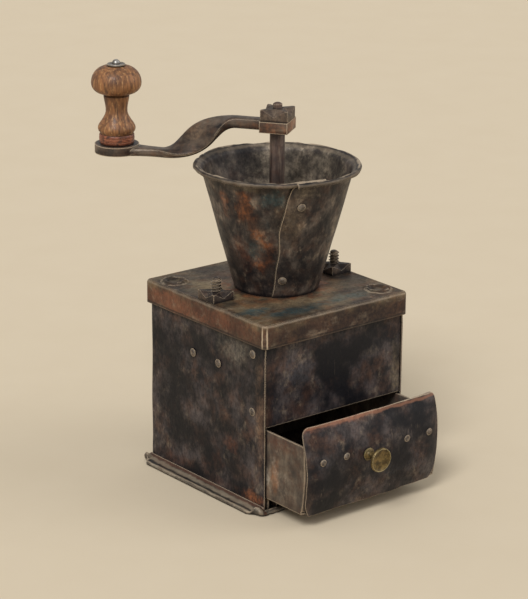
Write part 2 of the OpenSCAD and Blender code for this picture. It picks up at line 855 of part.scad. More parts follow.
// Cast shell with the outer burr's teeth, clamped between lid and bridge
module burr_shell() {
    neck_top = lid_top + neck_h;
    color([0.16, 0.15, 0.15])
        difference() {
            rotate_extrude()
                polygon([[grind_r, bridge_top], [shell_foot_r, bridge_top],
                         [shell_neck_r + 2, wall_top - shell_flange_t - 4],
                         [shell_flange_r, wall_top - shell_flange_t], [shell_flange_r, wall_top],
                         [shell_neck_r, wall_top], [shell_neck_r, neck_top],
                         [throat_r, neck_top], [throat_r, guide_z], [grind_top_r, guide_z]]);
            translate([0, 0, bridge_top])
                grooves(shell_teeth, grind_r, grind_top_r, grind_h, -tooth_slant / 2);
        }
}

// Three-spoked guide for the shaft, seated on the shell's ledge
module shaft_guide() {
    hub_r = shaft_d / 2 + 4;
    color([0.17, 0.16, 0.16])
        difference() {
            union() {
                translate([0, 0, guide_z])
                    cylinder(r = hub_r, h = guide_h + 2);
                for (k = [0:2])
                    rotate([0, 0, 120 * k + 30])
                        intersection() {
                            translate([0, -spoke_w / 2, guide_z])
                                cube([throat_r + 1, spoke_w, guide_h]);
                            translate([0, 0, guide_z - 1])
                                cylinder(r = throat_r - hole_fit, h = guide_h + 2);
                        }
            }
            translate([0, 0, guide_z - 1])
                cylinder(r = shaft_d / 2 + run_fit, h = guide_h + 4);
        }
}

// Strap under the bridge that carries the regulating screw
module step_yoke() {
    h = bridge_z - yoke_z;
    boss_r = screw_d / 2 + yoke_boss_wall;
    color([0.2, 0.18, 0.17])
        difference() {
            union() {
                translate([-yoke_w / 2, -yoke_leg_y - yoke_t, yoke_z])
                    cube([yoke_w, 2 * (yoke_leg_y + yoke_t), yoke_t]);
                translate([0, 0, yoke_z])
                    cylinder(r = boss_r, h = yoke_t + yoke_boss);
                for (side = [-1, 1]) {
                    translate([-yoke_w / 2, side > 0 ? yoke_leg_y : -yoke_leg_y - yoke_t, yoke_z])
                        cube([yoke_w, yoke_t, h]);
                    translate([-yoke_w / 2, side > 0 ? yoke_leg_y : -yoke_rivet_y - yoke_lug, bridge_z - yoke_t])
                        cube([yoke_w, yoke_rivet_y + yoke_lug - yoke_leg_y, yoke_t]);
                }
            }
            translate([0, 0, yoke_z - 1])
                cylinder(r = screw_d / 2 + run_fit, h = yoke_t + yoke_boss + 2);
            for (side = [-1, 1])
                translate([0, side * yoke_rivet_y, bridge_z - yoke_t - 1])
                    cylinder(r = rivet_d / 2 + hole_fit, h = yoke_t + 2);
        }
}

// Rivets that hang the yoke from the bridge
module yoke_rivets() {
    color([0.3, 0.27, 0.24])
        for (side = [-1, 1])
            translate([0, side * yoke_rivet_y, bridge_top])
                rivet(rivet_head, rivet_rise, bridge_t + yoke_t);
}

// Square nut that locks the regulating screw
module lock_nut() {
    color([0.24, 0.22, 0.2])
        translate([0, 0, lock_z])
            difference() {
                translate([-lock_w / 2, -lock_w / 2, 0])
                    cube([lock_w, lock_w, lock_t]);
                translate([0, 0, -1])
                    cylinder(r = screw_d / 2 + run_fit, h = lock_t + 2);
            }
}

// Screw with a notched thumb wheel that sets the height of the shaft
module regulating_screw() {
    notches = 12;
    notch_r = 1.5;
    color([0.3, 0.28, 0.26])
        difference() {
            union() {
                translate([0, 0, wheel_z])
                    cylinder(d = wheel_d, h = wheel_t);
                translate([0, 0, wheel_z])
                    cylinder(d = screw_d, h = foot_z - foot_gap - wheel_z);
            }
            for (k = [0:notches - 1])
                rotate([0, 0, 360 * k / notches])
                    translate([wheel_d / 2 + 0.4 * notch_r, 0, wheel_z - 1])
                        cylinder(r = notch_r, h = wheel_t + 2);
        }
}

// Upright shaft, squared for the crank and threaded above it; its foot turns in the yoke
module shaft() {
    tip = 1.4;
    color([0.22, 0.18, 0.15])
        difference() {
            union() {
                translate([0, 0, foot_z])
                    cylinder(d = screw_d, h = shoulder_z - foot_z);
                translate([0, 0, shoulder_z - eps])
                    cylinder(d = shaft_d, h = head_z - shoulder_z + eps);
                rotate([0, 0, arm_angle])
                    translate([-square_w / 2, -square_w / 2, head_z - eps])
                        cube([square_w, square_w, head_t + eps]);
                translate([0, 0, nut_z - eps])
                    cylinder(d = thread_d, h = shaft_top - tip - nut_z + eps);
                translate([0, 0, shaft_top - tip])
                    dome(thread_d, tip);
            }
            at_drive_pin()
                cylinder(r = rivet_d / 2 + hole_fit, h = 2 * shaft_d, center = true);
        }
}

// Places its children on the pin's axis, through the inner burr and the shaft
module at_drive_pin() {
    translate([0, 0, bridge_top + pin_up])
        rotate([90, 0, 0])
            children();
}

// Toothed cone that turns inside the shell
module inner_burr() {
    low_r = grind_r - burr_gap;
    bore_r = shaft_d / 2 + hole_fit;
    color([0.2, 0.19, 0.19])
        difference() {
            translate([0, 0, bridge_top])
                rotate_extrude()
                    polygon([[bore_r, 0], [low_r - burr_chamfer, 0], [low_r, burr_chamfer], [low_r - 0.2, burr_band],
                             [burr_top_r, burr_h], [bore_r, burr_h]]);
            translate([0, 0, bridge_top + groove_from])
                grooves(burr_teeth, low_r, burr_top_r, burr_h - groove_from, tooth_slant);
            at_drive_pin()
                cylinder(r = rivet_d / 2 + hole_fit, h = 2 * low_r, center = true);
        }
}

// Pin through the inner burr and the shaft
module drive_pin() {
    color([0.35, 0.33, 0.31])
        at_drive_pin()
            cylinder(d = rivet_d, h = 2 * (grind_r - burr_gap) - 2 * pin_in, center = true);
}

// ---------- crank ----------

// Share of the arm's drop at a distance from the shaft
function arm_share(s) = min(1, max(0, (s - drop_start) / (drop_end - drop_start)));
function arm_height(s) = let (u = arm_share(s)) arm_z_head - arm_drop * u * u * (3 - 2 * u);
function arm_slope(s) = atan(arm_height(s + 0.5) - arm_height(s - 0.5));
// Swell of the leaf along the drop
function arm_swell(s) = pow(sin(180 * arm_share(s)), 1.4);
// Distance from the shaft at which the arm ends, inside its eye
arm_last = crank_r - 0.35 * eye_d;
// Width of the arm, with its leaf and its flare into the eye
function arm_width(s) = arm_w + (leaf_w - arm_w) * arm_swell(s)
    + eye_flare * pow(max(0, (s - drop_end) / (arm_last - drop_end)), 2.4);
// A rounded section across the arm, banked by the twist
function arm_ring(s, n) = let (
    a = arm_slope(s),
    swell = arm_swell(s),
    b = leaf_bank * swell,
    w = arm_width(s),
    end_t = arm_t - (arm_t - arm_eye_t) * arm_share(s),
    t = end_t + (leaf_t - end_t) * swell,
    across = [sin(b) * sin(a), cos(b), -sin(b) * cos(a)],
    up = [-cos(b) * sin(a), sin(b), cos(b) * cos(a)])
    [for (k = [n - 1:-1:0]) let (c = cos(360 * k / n + 180 / n), d = sin(360 * k / n + 180 / n))
        [s, 0, arm_height(s)]
            + across * (w / 2 * sign(c) * pow(abs(c), 0.5))
            + up * (t / 2 * sign(d) * pow(abs(d), 0.5))];

// Forged arm: a squared head, a twisted leaf and an eye
module crank_arm() {
    n = 16;
    steps = 40;
    first = head_l / 2 - 2;
    color([0.24, 0.21, 0.19])
        rotate([0, 0, arm_angle])
            difference() {
                union() {
                    translate([-head_l / 2, -head_w / 2, head_z])
                        cube([head_l, head_w, head_t]);
                    polyhedron(
                        points = [for (i = [0:steps]) each arm_ring(first + (arm_last - first) * i / steps, n)],
                        faces = skin_faces(steps + 1, n));
                    translate([crank_r, 0, eye_z])
                        cylinder(d = eye_d, h = eye_t);
                }
                translate([-square_w / 2 - hole_fit, -square_w / 2 - hole_fit, head_z - 1])
                    cube([square_w + 2 * hole_fit, square_w + 2 * hole_fit, head_t + 2]);
                translate([crank_r, 0, eye_z - 1])
                    cylinder(r = spindle_d / 2 + hole_fit, h = eye_t + 2);
            }
}

// Notched square nut that holds the crank on the shaft
module crank_nut() {
    color([0.26, 0.21, 0.18])
        rotate([0, 0, arm_angle])
            translate([0, 0, nut_z])
                notched_nut(crank_nut_w, crank_nut_t, thread_d + 2 * hole_fit, crank_notch);
}

// Places its children on the handle's axis
module at_handle() {
    rotate([0, 0, arm_angle])
        translate([crank_r, 0, 0])
            children();
}

// Spindle riveted into the eye, with its upper end peened over the washer
module handle_spindle() {
    foot_h = 1.6;
    color([0.5, 0.49, 0.47])
        at_handle()
            union() {
                translate([0, 0, eye_z - foot_h])
                    cylinder(d = spindle_d + 4, h = foot_h);
                translate([0, 0, eye_z - eps])
                    cylinder(d = spindle_d, h = washer_z - eye_z + eps);
                translate([0, 0, washer_z - eps])
                    cylinder(d = peen_d - 1, h = washer_t + 2 * eps);
                translate([0, 0, washer_z + washer_t])
                    dome(peen_d, peen_h);
            }
}

// Washer under the spindle's peened end
module handle_washer() {
    color([0.62, 0.62, 0.6])
        at_handle()
            translate([0, 0, washer_z])
                difference() {
                    cylinder(d = washer_d, h = washer_t);
                    translate([0, 0, -1])
                        cylinder(r = (peen_d - 1) / 2 + hole_fit, h = washer_t + 2);
                }
}

// Ring round the handle's foot
module handle_ferrule() {
    bore_r = spindle_d / 2 + run_fit;
    r = ferrule_d / 2;
    color([0.5, 0.25, 0.16])
        at_handle()
            translate([0, 0, grip_z])
                rotate_extrude()
                    polygon([[bore_r, 0], [r - 0.9, 0], [r - 0.3, 0.6], [r + 0.1, ferrule_h / 2],
                             [r, ferrule_h - 0.5], [r - 0.5, ferrule_h], [bore_r, ferrule_h]]);
}

// Radius of the turned wood at a height above its ring
function ease(u) = (1 - cos(180 * u)) / 2;
function share(z, from, to) = (z - from) / (to - from);
function wood_r(z) =
    z < bulb_z ? bulb_d / 2 - 1.8 * pow(1 - z / bulb_z, 2)
    : z < waist_z ? bulb_d / 2 + (waist_d - bulb_d) / 2 * ease(pow(share(z, bulb_z, waist_z), 0.85))
    : z < neck_z ? waist_d / 2 + neck_swell * ease(share(z, waist_z, neck_z))
    : z < knob_z ? waist_d / 2 + neck_swell
        + (grip_knob_d / 2 - waist_d / 2 - neck_swell) * sqrt(1 - pow(1 - share(z, neck_z, knob_z), 2.2))
    : wood_top_r + (grip_knob_d / 2 - wood_top_r) * sqrt(1 - pow(share(z, knob_z, wood_h), 2.1));

// Turned wooden handle
module handle_grip() {
    bore_r = spindle_d / 2 + run_fit;
    steps = 48;
    color([0.58, 0.38, 0.2])
        at_handle()
            translate([0, 0, grip_z + ferrule_h])
                rotate_extrude()
                    polygon(concat(
                        [[bore_r, 0]],
                        [for (i = [0:steps]) [wood_r(wood_h * i / steps), wood_h * i / steps]],
                        [[bore_r, wood_h]]));
}

// ---------- drawer ----------

// Outward bulge of the drawer's front; x from the middle, z above the table
function swell_z(z) = max(0, 1 - pow((z - front_mid) / (front_h / 2), 2));
function end_share(x) = pow(max(0, abs(x) - curl_from) / (front_w / 2 - curl_from), 2);
function front_face(x, z) = front_back - tray_t - bulge * swell_z(z) * (1 - 0.45 * end_share(x))
    + curl * end_share(x);

// Lean of the drawer's front away from the upright
function front_lean(x, z) = atan(front_face(x, z + 0.5) - front_face(x, z - 0.5));

// Half width of the drawer's front at a height
function front_half(z) = let (
    up = front_foot + front_h - z,
    corner = up < front_r ? front_r - sqrt(max(0, front_r * front_r - pow(front_r - up, 2))) : 0,
    low = front_taper * pow(max(0, 1 - (z - front_foot) / front_taper_h), 2))
    front_w / 2 - corner - low;

// Sheet that follows the front's bulge, as wide as the front at each height
module front_skin(rows, cols) {
    points = [for (z = rows) each concat(
        [for (i = [0:cols]) let (x = front_half(z) * (2 * i / cols - 1))
            [x, front_face(x, z), z]],
        [for (i = [cols:-1:0]) let (x = front_half(z) * (2 * i / cols - 1))
            [x, front_face(x, z) + tray_t, z]])];
    polyhedron(points = points, faces = turned(skin_faces(len(rows), 2 * (cols + 1))));
}

// Heights of the rows of points up the drawer's front
function front_rows() = concat(
    [for (i = [0:12]) front_foot + (front_h - front_r) * i / 12],
    [for (i = [1:4]) front_foot + front_h - front_r * (1 - sin(22.5 * i))]);

// Places its children on each front rivet, with Z out of the drawer's front
module at_front_rivets() {
    z = tray_z + front_rivet_z;
    for (x = [-front_rivet_out, -front_rivet_in, front_rivet_in, front_rivet_out])
        translate([x, front_face(x, z), z])
            rotate([90 - front_lean(x, z), 0, 0])
                children();
}

// Places its children on the pull's axis, with Z out of the drawer's front
module at_pull() {
    z = tray_z + pull_z;
    translate([pull_x, front_face(pull_x, z), z])
        rotate([90 - front_lean(pull_x, z), 0, 0])
            children();
}

// Folded tray with flanges behind the drawer's front
module drawer_tray() {
    side_front = [for (i = [0:8]) let (z = tray_z + tray_h * i / 8)
        [front_face(tray_x, z) + 1.5 * tray_t, z]];
    floor_front = [for (i = [0:20]) let (x = tray_x * (i / 10 - 1))
        [x, front_face(x, tray_z) + tray_t + 0.2]];
    tab_in = front_rivet_in - tab_past;
    tab_rows = [for (i = [0:6]) tray_z + tray_t + 1 + (tray_h - tray_t - 2) * i / 6];
    color([0.42, 0.38, 0.33])
        difference() {
            union() {
                translate([0, 0, tray_z])
                    linear_extrude(tray_t)
                        polygon(concat(floor_front, [[tray_x, tray_back], [-tray_x, tray_back]]));
                translate([-tray_x, tray_back - tray_t, tray_z])
                    cube([2 * tray_x, tray_t, tray_h]);
                for (side = [-1, 1])
                    translate([side > 0 ? tray_x - tray_t : -tray_x, 0, 0])
                        rotate([90, 0, 90])
                            linear_extrude(tray_t)
                                polygon(concat(side_front, [[tray_back, tray_top], [tray_back, tray_z]]));
                for (side = [-1, 1])
                    tray_tab(side, tab_in, tab_rows);
            }
            at_front_rivets()
                cylinder(r = rivet_d / 2 + hole_fit, h = drill_l, center = true);
        }
}

// Flange of the tray that follows the inside of the front
module tray_tab(side, tab_in, rows) {
    cols = 8;
    outer = tray_x - 0.2;
    points = [for (z = rows) each concat(
        [for (i = [0:cols]) let (x = side * (tab_in + (outer - tab_in) * i / cols))
            [x, front_face(x, z) + tray_t + 0.05, z]],
        [for (i = [cols:-1:0]) let (x = side * (tab_in + (outer - tab_in) * i / cols))
            [x, front_face(x, z) + 2 * tray_t + 0.05, z]])];
    skin = skin_faces(len(rows), 2 * (cols + 1));
    polyhedron(points = points, faces = side > 0 ? turned(skin) : skin);
}

// Bulged sheet that closes the drawer
module drawer_front() {
    color([0.15, 0.14, 0.14])
        difference() {
            front_skin(front_rows(), 28);
            at_front_rivets()
                cylinder(r = rivet_d / 2 + hole_fit, h = drill_l, center = true);
            at_pull()
                cylinder(r = pull_screw_d / 2 + hole_fit, h = drill_l, center = true);
        }
}

// Rivets that hold the front to the tray's flanges
module drawer_rivets() {
    color([0.5, 0.47, 0.42])
        at_front_rivets()
            rivet(front_rivet_head, rivet_rise, 2 * tray_t + 0.4);
}

// Turned brass pull with a dished face
module pull_knob() {
    foot_h = 1.6;
    disc_t = 2.6;
    dish = 0.9;
    r = pull_d / 2;
    stem = pull_stem_d / 2;
    color([0.62, 0.52, 0.26])
        at_pull()
            rotate_extrude()
                polygon(concat(
                    [[0, -pull_screw_l], [pull_screw_d / 2, -pull_screw_l], [pull_screw_d / 2, 0],
                     [pull_foot_d / 2, 0], [pull_foot_d / 2, foot_h * 0.6], [stem, foot_h + 0.6],
                     [stem - 0.5, pull_out * 0.5], [stem, pull_out - disc_t - 1.2],
                     [r - 2.2, pull_out - disc_t], [r, pull_out - disc_t + 0.9], [r, pull_out - 0.5],
                     [r - 0.6, pull_out]],
                    [for (i = [0:6]) [(r - 1.5) * (1 - i / 6), pull_out - 0.3 - dish * sin(15 * i)]]));
}

// Square nut on the pull's screw, inside the drawer
module pull_nut() {
    color([0.4, 0.36, 0.3])
        at_pull()
            translate([0, 0, -tray_t - pull_nut_t - 0.1])
                difference() {
                    translate([-pull_nut_w / 2, -pull_nut_w / 2, 0])
                        cube([pull_nut_w, pull_nut_w, pull_nut_t]);
                    translate([0, 0, -1])
                        cylinder(r = pull_screw_d / 2 + hole_fit, h = pull_nut_t + 2);
                }
}

base_pan();
body_wrap();
front_panel();
corner_rivets();
drawer_runners();
cross_bridge();
bridge_rivets();
hold_down_bolts();
lid();
lid_nuts();
hopper();
hopper_rivets();
burr_shell();
shaft_guide();
step_yoke();
yoke_rivets();
lock_nut();
regulating_screw();
shaft();
inner_burr();
drive_pin();
crank_arm();
crank_nut();
handle_spindle();
handle_washer();
handle_ferrule();
handle_grip();
drawer_tray();
drawer_front();
drawer_rivets();
pull_knob();
pull_nut();
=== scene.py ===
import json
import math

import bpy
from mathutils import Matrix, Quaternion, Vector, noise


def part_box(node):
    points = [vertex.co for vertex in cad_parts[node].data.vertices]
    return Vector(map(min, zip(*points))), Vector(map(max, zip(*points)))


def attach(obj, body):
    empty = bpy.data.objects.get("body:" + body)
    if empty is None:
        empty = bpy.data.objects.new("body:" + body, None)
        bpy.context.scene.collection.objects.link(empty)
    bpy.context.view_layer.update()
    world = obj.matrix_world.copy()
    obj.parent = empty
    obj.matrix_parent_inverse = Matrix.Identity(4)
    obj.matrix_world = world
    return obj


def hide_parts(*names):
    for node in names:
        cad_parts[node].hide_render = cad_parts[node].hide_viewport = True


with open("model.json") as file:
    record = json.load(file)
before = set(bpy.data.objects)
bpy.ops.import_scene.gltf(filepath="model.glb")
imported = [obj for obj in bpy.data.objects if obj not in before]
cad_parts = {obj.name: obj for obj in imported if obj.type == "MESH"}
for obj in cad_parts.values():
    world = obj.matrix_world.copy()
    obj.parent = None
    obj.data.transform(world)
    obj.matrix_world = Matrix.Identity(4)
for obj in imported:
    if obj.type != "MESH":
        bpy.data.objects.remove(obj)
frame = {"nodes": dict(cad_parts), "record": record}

# %% [markdown]
# # A box coffee mill of riveted sheet iron
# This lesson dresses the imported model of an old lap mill: a box of black sheet iron with a
# slip-over lid, a dented hopper, a forged crank, a turned handle and a drawer. The model gives
# every piece its size and place, in metres, with the drawer's front towards -Y and +Z up.
# First come the sizes that the cells share.

MM = 0.001
LID_TOP = 140
WALL_X, WALL_Y = 63.5, 67
nodes = frame["nodes"]
groups = frame["record"]["behaviour"]["bodies"]
bodies = {node: body for body, group in groups.items() for node in group}
slots = {part["node"]: part["material_slot"] for part in frame["record"]["subparts"]}
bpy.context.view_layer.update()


def mm_box(node):
    """The lowest and highest corner of a node in mm."""
    low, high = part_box(node)
    return low / MM, high / MM


grip_low, grip_high = mm_box("handle_grip")
handle_at = (grip_low + grip_high) / 2
print("lid top at", round(mm_box("lid")[1].z, 1), "mm, handle at", handle_at)

# %% [markdown]
# ## Shader maths
# A material is a graph of nodes. Written by hand it soon gets long, so one small class wraps a
# socket and lets Python's own operators add the Math nodes: `1 - mask * 0.5` then reads as it
# would on paper. A second class holds the material and adds any other node with one method.

# %% The class that wraps a socket
class Flow:
    """A socket of a finish that can be used in a sum."""

    def __init__(self, finish, socket):
        self.finish, self.socket = finish, socket

    def _math(self, operation, *terms):
        return self.finish.node("ShaderNodeMath", *terms, operation=operation)

    def __add__(self, other):
        return self._math("ADD", self, other)

    def __sub__(self, other):
        return self._math("SUBTRACT", self, other)

    def __rsub__(self, other):
        return self._math("SUBTRACT", other, self)

    def __mul__(self, other):
        return self._math("MULTIPLY", self, other)

    def __truediv__(self, other):
        return self._math("DIVIDE", self, other)

    __radd__ = __add__
    __rmul__ = __mul__


# %% The class that holds a finish
class Finish:
    """A material and the patterns that its surface is made of."""

    def __init__(self, name):
        self.material = bpy.data.materials.new(name)
        self.material.use_nodes = True
        self.tree = self.material.node_tree
        self.shader = self.tree.nodes["Principled BSDF"]
        self.place = self.node("ShaderNodeTexCoord", out="Object")

    def node(self, kind, *values, sockets=None, out=0, **settings):
        """Adds a node: its settings first, then the values or links of its sockets."""
        made = self.tree.nodes.new(kind)
        for name, value in settings.items():
            setattr(made, name, value)
        for key, value in [*enumerate(values), *(sockets or {}).items()]:
            if isinstance(value, Flow):
                self.tree.links.new(value.socket, made.inputs[key])
            else:
                made.inputs[key].default_value = value
        return Flow(self, made.outputs[out])

    def vector(self, operation, *values, out=0):
        return self.node("ShaderNodeVectorMath", *values, out=out, operation=operation)

    def feed(self, **inputs):
        """Links or sets the shader's own sockets; an underscore stands for a space."""
        for name, value in inputs.items():
            socket = self.shader.inputs[name.replace("_", " ")]
            if isinstance(value, Flow):
                self.tree.links.new(value.socket, socket)
            else:
                socket.default_value = value
        return self.material

    def noise(self, size, detail=5, rough=0.6, stretch=(1, 1, 1), seed=0, turn=0):
        """Noise from 0 to 1 with clouds of a size in mm; turn swings its grain round Z."""
        shift = (seed * 0.37, seed * 0.11, seed * 0.23)
        if turn:
            moved = self.node("ShaderNodeMapping", self.place, shift, (0, 0, math.radians(turn)),
                              [1 / s for s in stretch], vector_type="TEXTURE")
        else:
            moved = self.node("ShaderNodeMapping", self.place, shift, (0, 0, 0), stretch)
        return self.node("ShaderNodeTexNoise", sockets={
            "Vector": moved, "Scale": 1 / (size * MM), "Detail": detail, "Roughness": rough})

    def ease(self, value, low, high):
        """0 below low, 1 above high, and a smooth rise between them."""
        return self.node("ShaderNodeMapRange", value, low, high, 0.0, 1.0,
                         interpolation_type="SMOOTHSTEP")

    def cloudy(self, size, low, high, **grain):
        """A mask of soft clouds: 0 where the noise is below low and 1 where it is above high."""
        return self.ease(self.noise(size, **grain), low, high)

    def along(self, axis):
        """The place along an axis, in mm."""
        return self.node("ShaderNodeSeparateXYZ", self.place, out=axis) / MM

    def near(self, value, middle, half):
        """1 where a value is at its middle, and 0 once it is half away from it."""
        away = self.node("ShaderNodeMath", value - middle, operation="ABSOLUTE")
        return 1 - self.ease(away, half * 0.3, half)

    def mix(self, below, above, share):
        """Lays one colour over another."""
        return self.node("ShaderNodeMix", sockets={
            0: share, 6: light_of(below), 7: light_of(above)}, out=2, data_type="RGBA")

    def lay(self, colour, *layers):
        """Lays tones over a colour in turn, each given as the tone and its mask."""
        for tone, share in layers:
            colour = self.mix(colour, tone, share)
        return colour

    def spot(self, at, size, grain):
        """1 at a place on the mill and 0 away from it, with a ragged edge; all in mm."""
        away = self.vector("SUBTRACT", self.place, Vector(at) * MM)
        away = self.vector("MULTIPLY", away, [1 / (s * MM) for s in size])
        ragged = (self.noise(grain, seed=at[0]) - 0.5) * 1.8
        return 1 - self.ease(self.vector("LENGTH", away, out=1) + ragged, 0.35, 1.15)

    def normal(self):
        return self.node("ShaderNodeNewGeometry", out="Normal")

    def inward(self):
        """1 on faces that look towards the mill's upright middle, as inside its hopper."""
        out = self.vector("NORMALIZE", self.vector("MULTIPLY", self.place, (1, 1, 0)))
        return 1 - self.ease(self.vector("DOT_PRODUCT", out, self.normal(), out=1), -0.5, -0.1)

    def edge(self, reach=1.3, low=0.006, high=0.10):
        """1 along sharp edges: there a rounded normal leans away from the true one."""
        soft = self.node("ShaderNodeBevel", reach * MM, samples=6)
        return self.ease(1 - self.vector("DOT_PRODUCT", soft, self.normal(), out=1), low, high)

    def seam(self, reach=4, low=0.45, high=0.92):
        """1 in corners and under heads: painted shade, from ambient occlusion."""
        open_air = self.node("ShaderNodeAmbientOcclusion", sockets={"Distance": reach * MM},
                             out="AO", samples=8)
        return 1 - self.ease(open_air, low, high)

    def bump(self, strength, deep, height):
        """A surface that rises with a height, by so many mm at most."""
        return self.node("ShaderNodeBump", sockets={
            "Strength": strength, "Distance": deep * MM, "Height": height})


def light_of(tone):
    """Turns a tone from the 0 to 255 scale of a paint chart into the light of a shader."""
    if isinstance(tone, Flow):
        return tone
    return (*[c / 255 / 12.92 if c < 10.3 else ((c / 255 + 0.055) / 1.055) ** 2.4
              for c in tone], 1)


# %% [markdown]
# ## Iron that has been handled for a hundred years
# Black sheet iron is never one colour. Its scale is mottled blue-black and grey, brown comes
# through where it thinned, rust sits in patches, and every edge is worn to a pale line, which
# also stands for the highlight an edge catches. Corners and the feet of heads get painted shade.
# One function builds that from layers, and each piece gives it its own colours and its own
# patches.

# %% The colours that the pieces share
SOOT_AND_SHADE = (14, 13, 19)
# Near black, for grime and specks, and also for painted shade in corners and creases.
SLATE = (76, 77, 84)
WARM_BROWN = (92, 64, 50)
OLIVE = (124, 110, 88)
RUST = (150, 94, 62)
DARK_RUST = (104, 62, 44)
TEAL = (68, 90, 91)
# Pale, for worn edges, frost and scratches, and also for painted highlights along edges and
# lines.
PALE_WEAR_AND_HIGHLIGHT = (196, 176, 150)
# A pale grey for painted highlights on the hopper.
PAINTED_HIGHLIGHT_GREY = (150, 134, 112)
# Painted shade along the border of the lid's top.
LID_BORDER_PAINTED_SHADE = (54, 42, 34)
# Painted shade over the lid's bosses.
BOSS_PAINTED_SHADE = (50, 40, 35)
finishes = {}


# %% Patches, lines and worn edges
def patched(f, colour, patches, grain, broken):
    """A patch is its tone, place, size and share; a fifth item keeps it to the inner side."""
    fine = f.cloudy(2.6, 0.40, 0.58, detail=6, rough=0.7, seed=21)
    for tone, at, size, share, *inner in patches:
        here = f.spot(at, size, grain) * (fine * broken + (1 - broken)) * share
        colour = f.mix(colour, tone, here * f.inward() if inner else here)
    return colour


def ruled(f, colour, lines):
    """A line is its axis, its place on it, its width and share, its limits and its tone.

    Each limit is another axis, the middle there and the half length."""
    for axis, middle, wide, share, limits, *tone in lines:
        wander = (f.noise(11, seed=middle) - 0.5) * wide * 2.4
        line = f.near(f.along(axis) + wander, middle, wide)
        for other, at, half in limits:
            line = line * f.near(f.along(other), at, half)
        colour = f.mix(colour, tone[0] if tone else PALE_WEAR_AND_HIGHLIGHT, line * share)
    return colour


def rubbed_and_highlit(f, worn, reach, wear, bare, rings):
    """The mask of pale edges, both wear and painted highlight, held back below the heights in
    bare, and of pressed rings painted as highlights.
    """
    edge_wear_and_highlight = f.edge(reach, *wear) * f.cloudy(5, 0.2, 0.45, seed=8) * worn
    if bare:
        edge_wear_and_highlight = edge_wear_and_highlight * (f.ease(f.along(2), *bare) * 0.85 + 0.15)
    for at, radius, wide, share in rings:
        away = f.vector("DISTANCE", f.place, Vector(at) * MM, out=1) / MM
        band = f.near(away + f.noise(7) * 1.6 - 0.8, radius, wide)
        edge_wear_and_highlight = edge_wear_and_highlight + band * f.cloudy(5, 0.36, 0.56, seed=2) * share
    return edge_wear_and_highlight


# %% The iron finish
def iron(name, dark, light, brown, browning=0.5, frost=0.3, grime=0.55, corner_shade=0.85,
         clouds=12, streak=(1, 1, 0.7), turn=0, grain=9, broken=0.6, worn=0.85, reach=1.3,
         wear=(0.006, 0.10), bare=None, gloss=0.5, metal=0.25, patches=(), lines=(), rings=()):
    """Mottled iron from its scale up: brown, patches, frost, soot, scratches, pale edges of wear
    and painted highlight, and painted shade in corners.
    """
    f = Finish(name)
    way = {"stretch": streak, "turn": turn}
    thinned = f.cloudy(clouds * 0.8, 0.42, 0.68, detail=8, rough=0.64, seed=3)
    pale = f.cloudy(clouds * 0.5, 0.52, 0.72, detail=8, rough=0.7, seed=9, **way)
    deep = f.cloudy(clouds * 2, 0.38, 0.60, detail=8, rough=0.58, seed=27)
    speck = f.cloudy(2.6, 0.34, 0.62, detail=7, rough=0.74, stretch=(1, 1, 0.6), seed=5)
    scratch = f.cloudy(1.1, 0.62, 0.70, detail=3, stretch=(1, 1, 0.06), seed=14)
    scratched = scratch * f.cloudy(15, 0.5, 0.66, seed=15) * 0.12

    colour = f.mix(dark, light, f.cloudy(clouds, 0.34, 0.68, detail=8, **way))
    colour = f.mix(colour, brown, thinned * browning)
    colour = patched(f, colour, patches, grain, broken)
    colour = f.lay(colour, (PALE_WEAR_AND_HIGHLIGHT, pale * frost), (SOOT_AND_SHADE, (1 - deep) * grime),
                   (SOOT_AND_SHADE, (1 - speck) * grime * 0.6), (PALE_WEAR_AND_HIGHLIGHT, scratched))
    colour = ruled(f, colour, lines)
    # Pale edges are wear and painted highlight; the last layer is painted shade in corners.
    colour = f.lay(colour, (PALE_WEAR_AND_HIGHLIGHT, rubbed_and_highlit(f, worn, reach, wear, bare, rings)),
                   (SOOT_AND_SHADE, f.seam() * corner_shade))

    pits = f.noise(1.5, rough=0.65, seed=11) * 0.5 + f.noise(8, detail=4, seed=12) * 0.9
    finishes[name] = f.feed(
        Base_Color=colour, Metallic=metal, Specular_IOR_Level=0.35,
        Roughness=(1 - speck) * 0.14 + (gloss - 0.04), Normal=f.bump(0.3, 0.5, pits))


# %% [markdown]
# ### Which iron goes where
# Places, sizes and heights are in mm, in the mill's own frame. The walls and the drawer's front
# are nearly black, with brown and slate patches and a rusty foot.

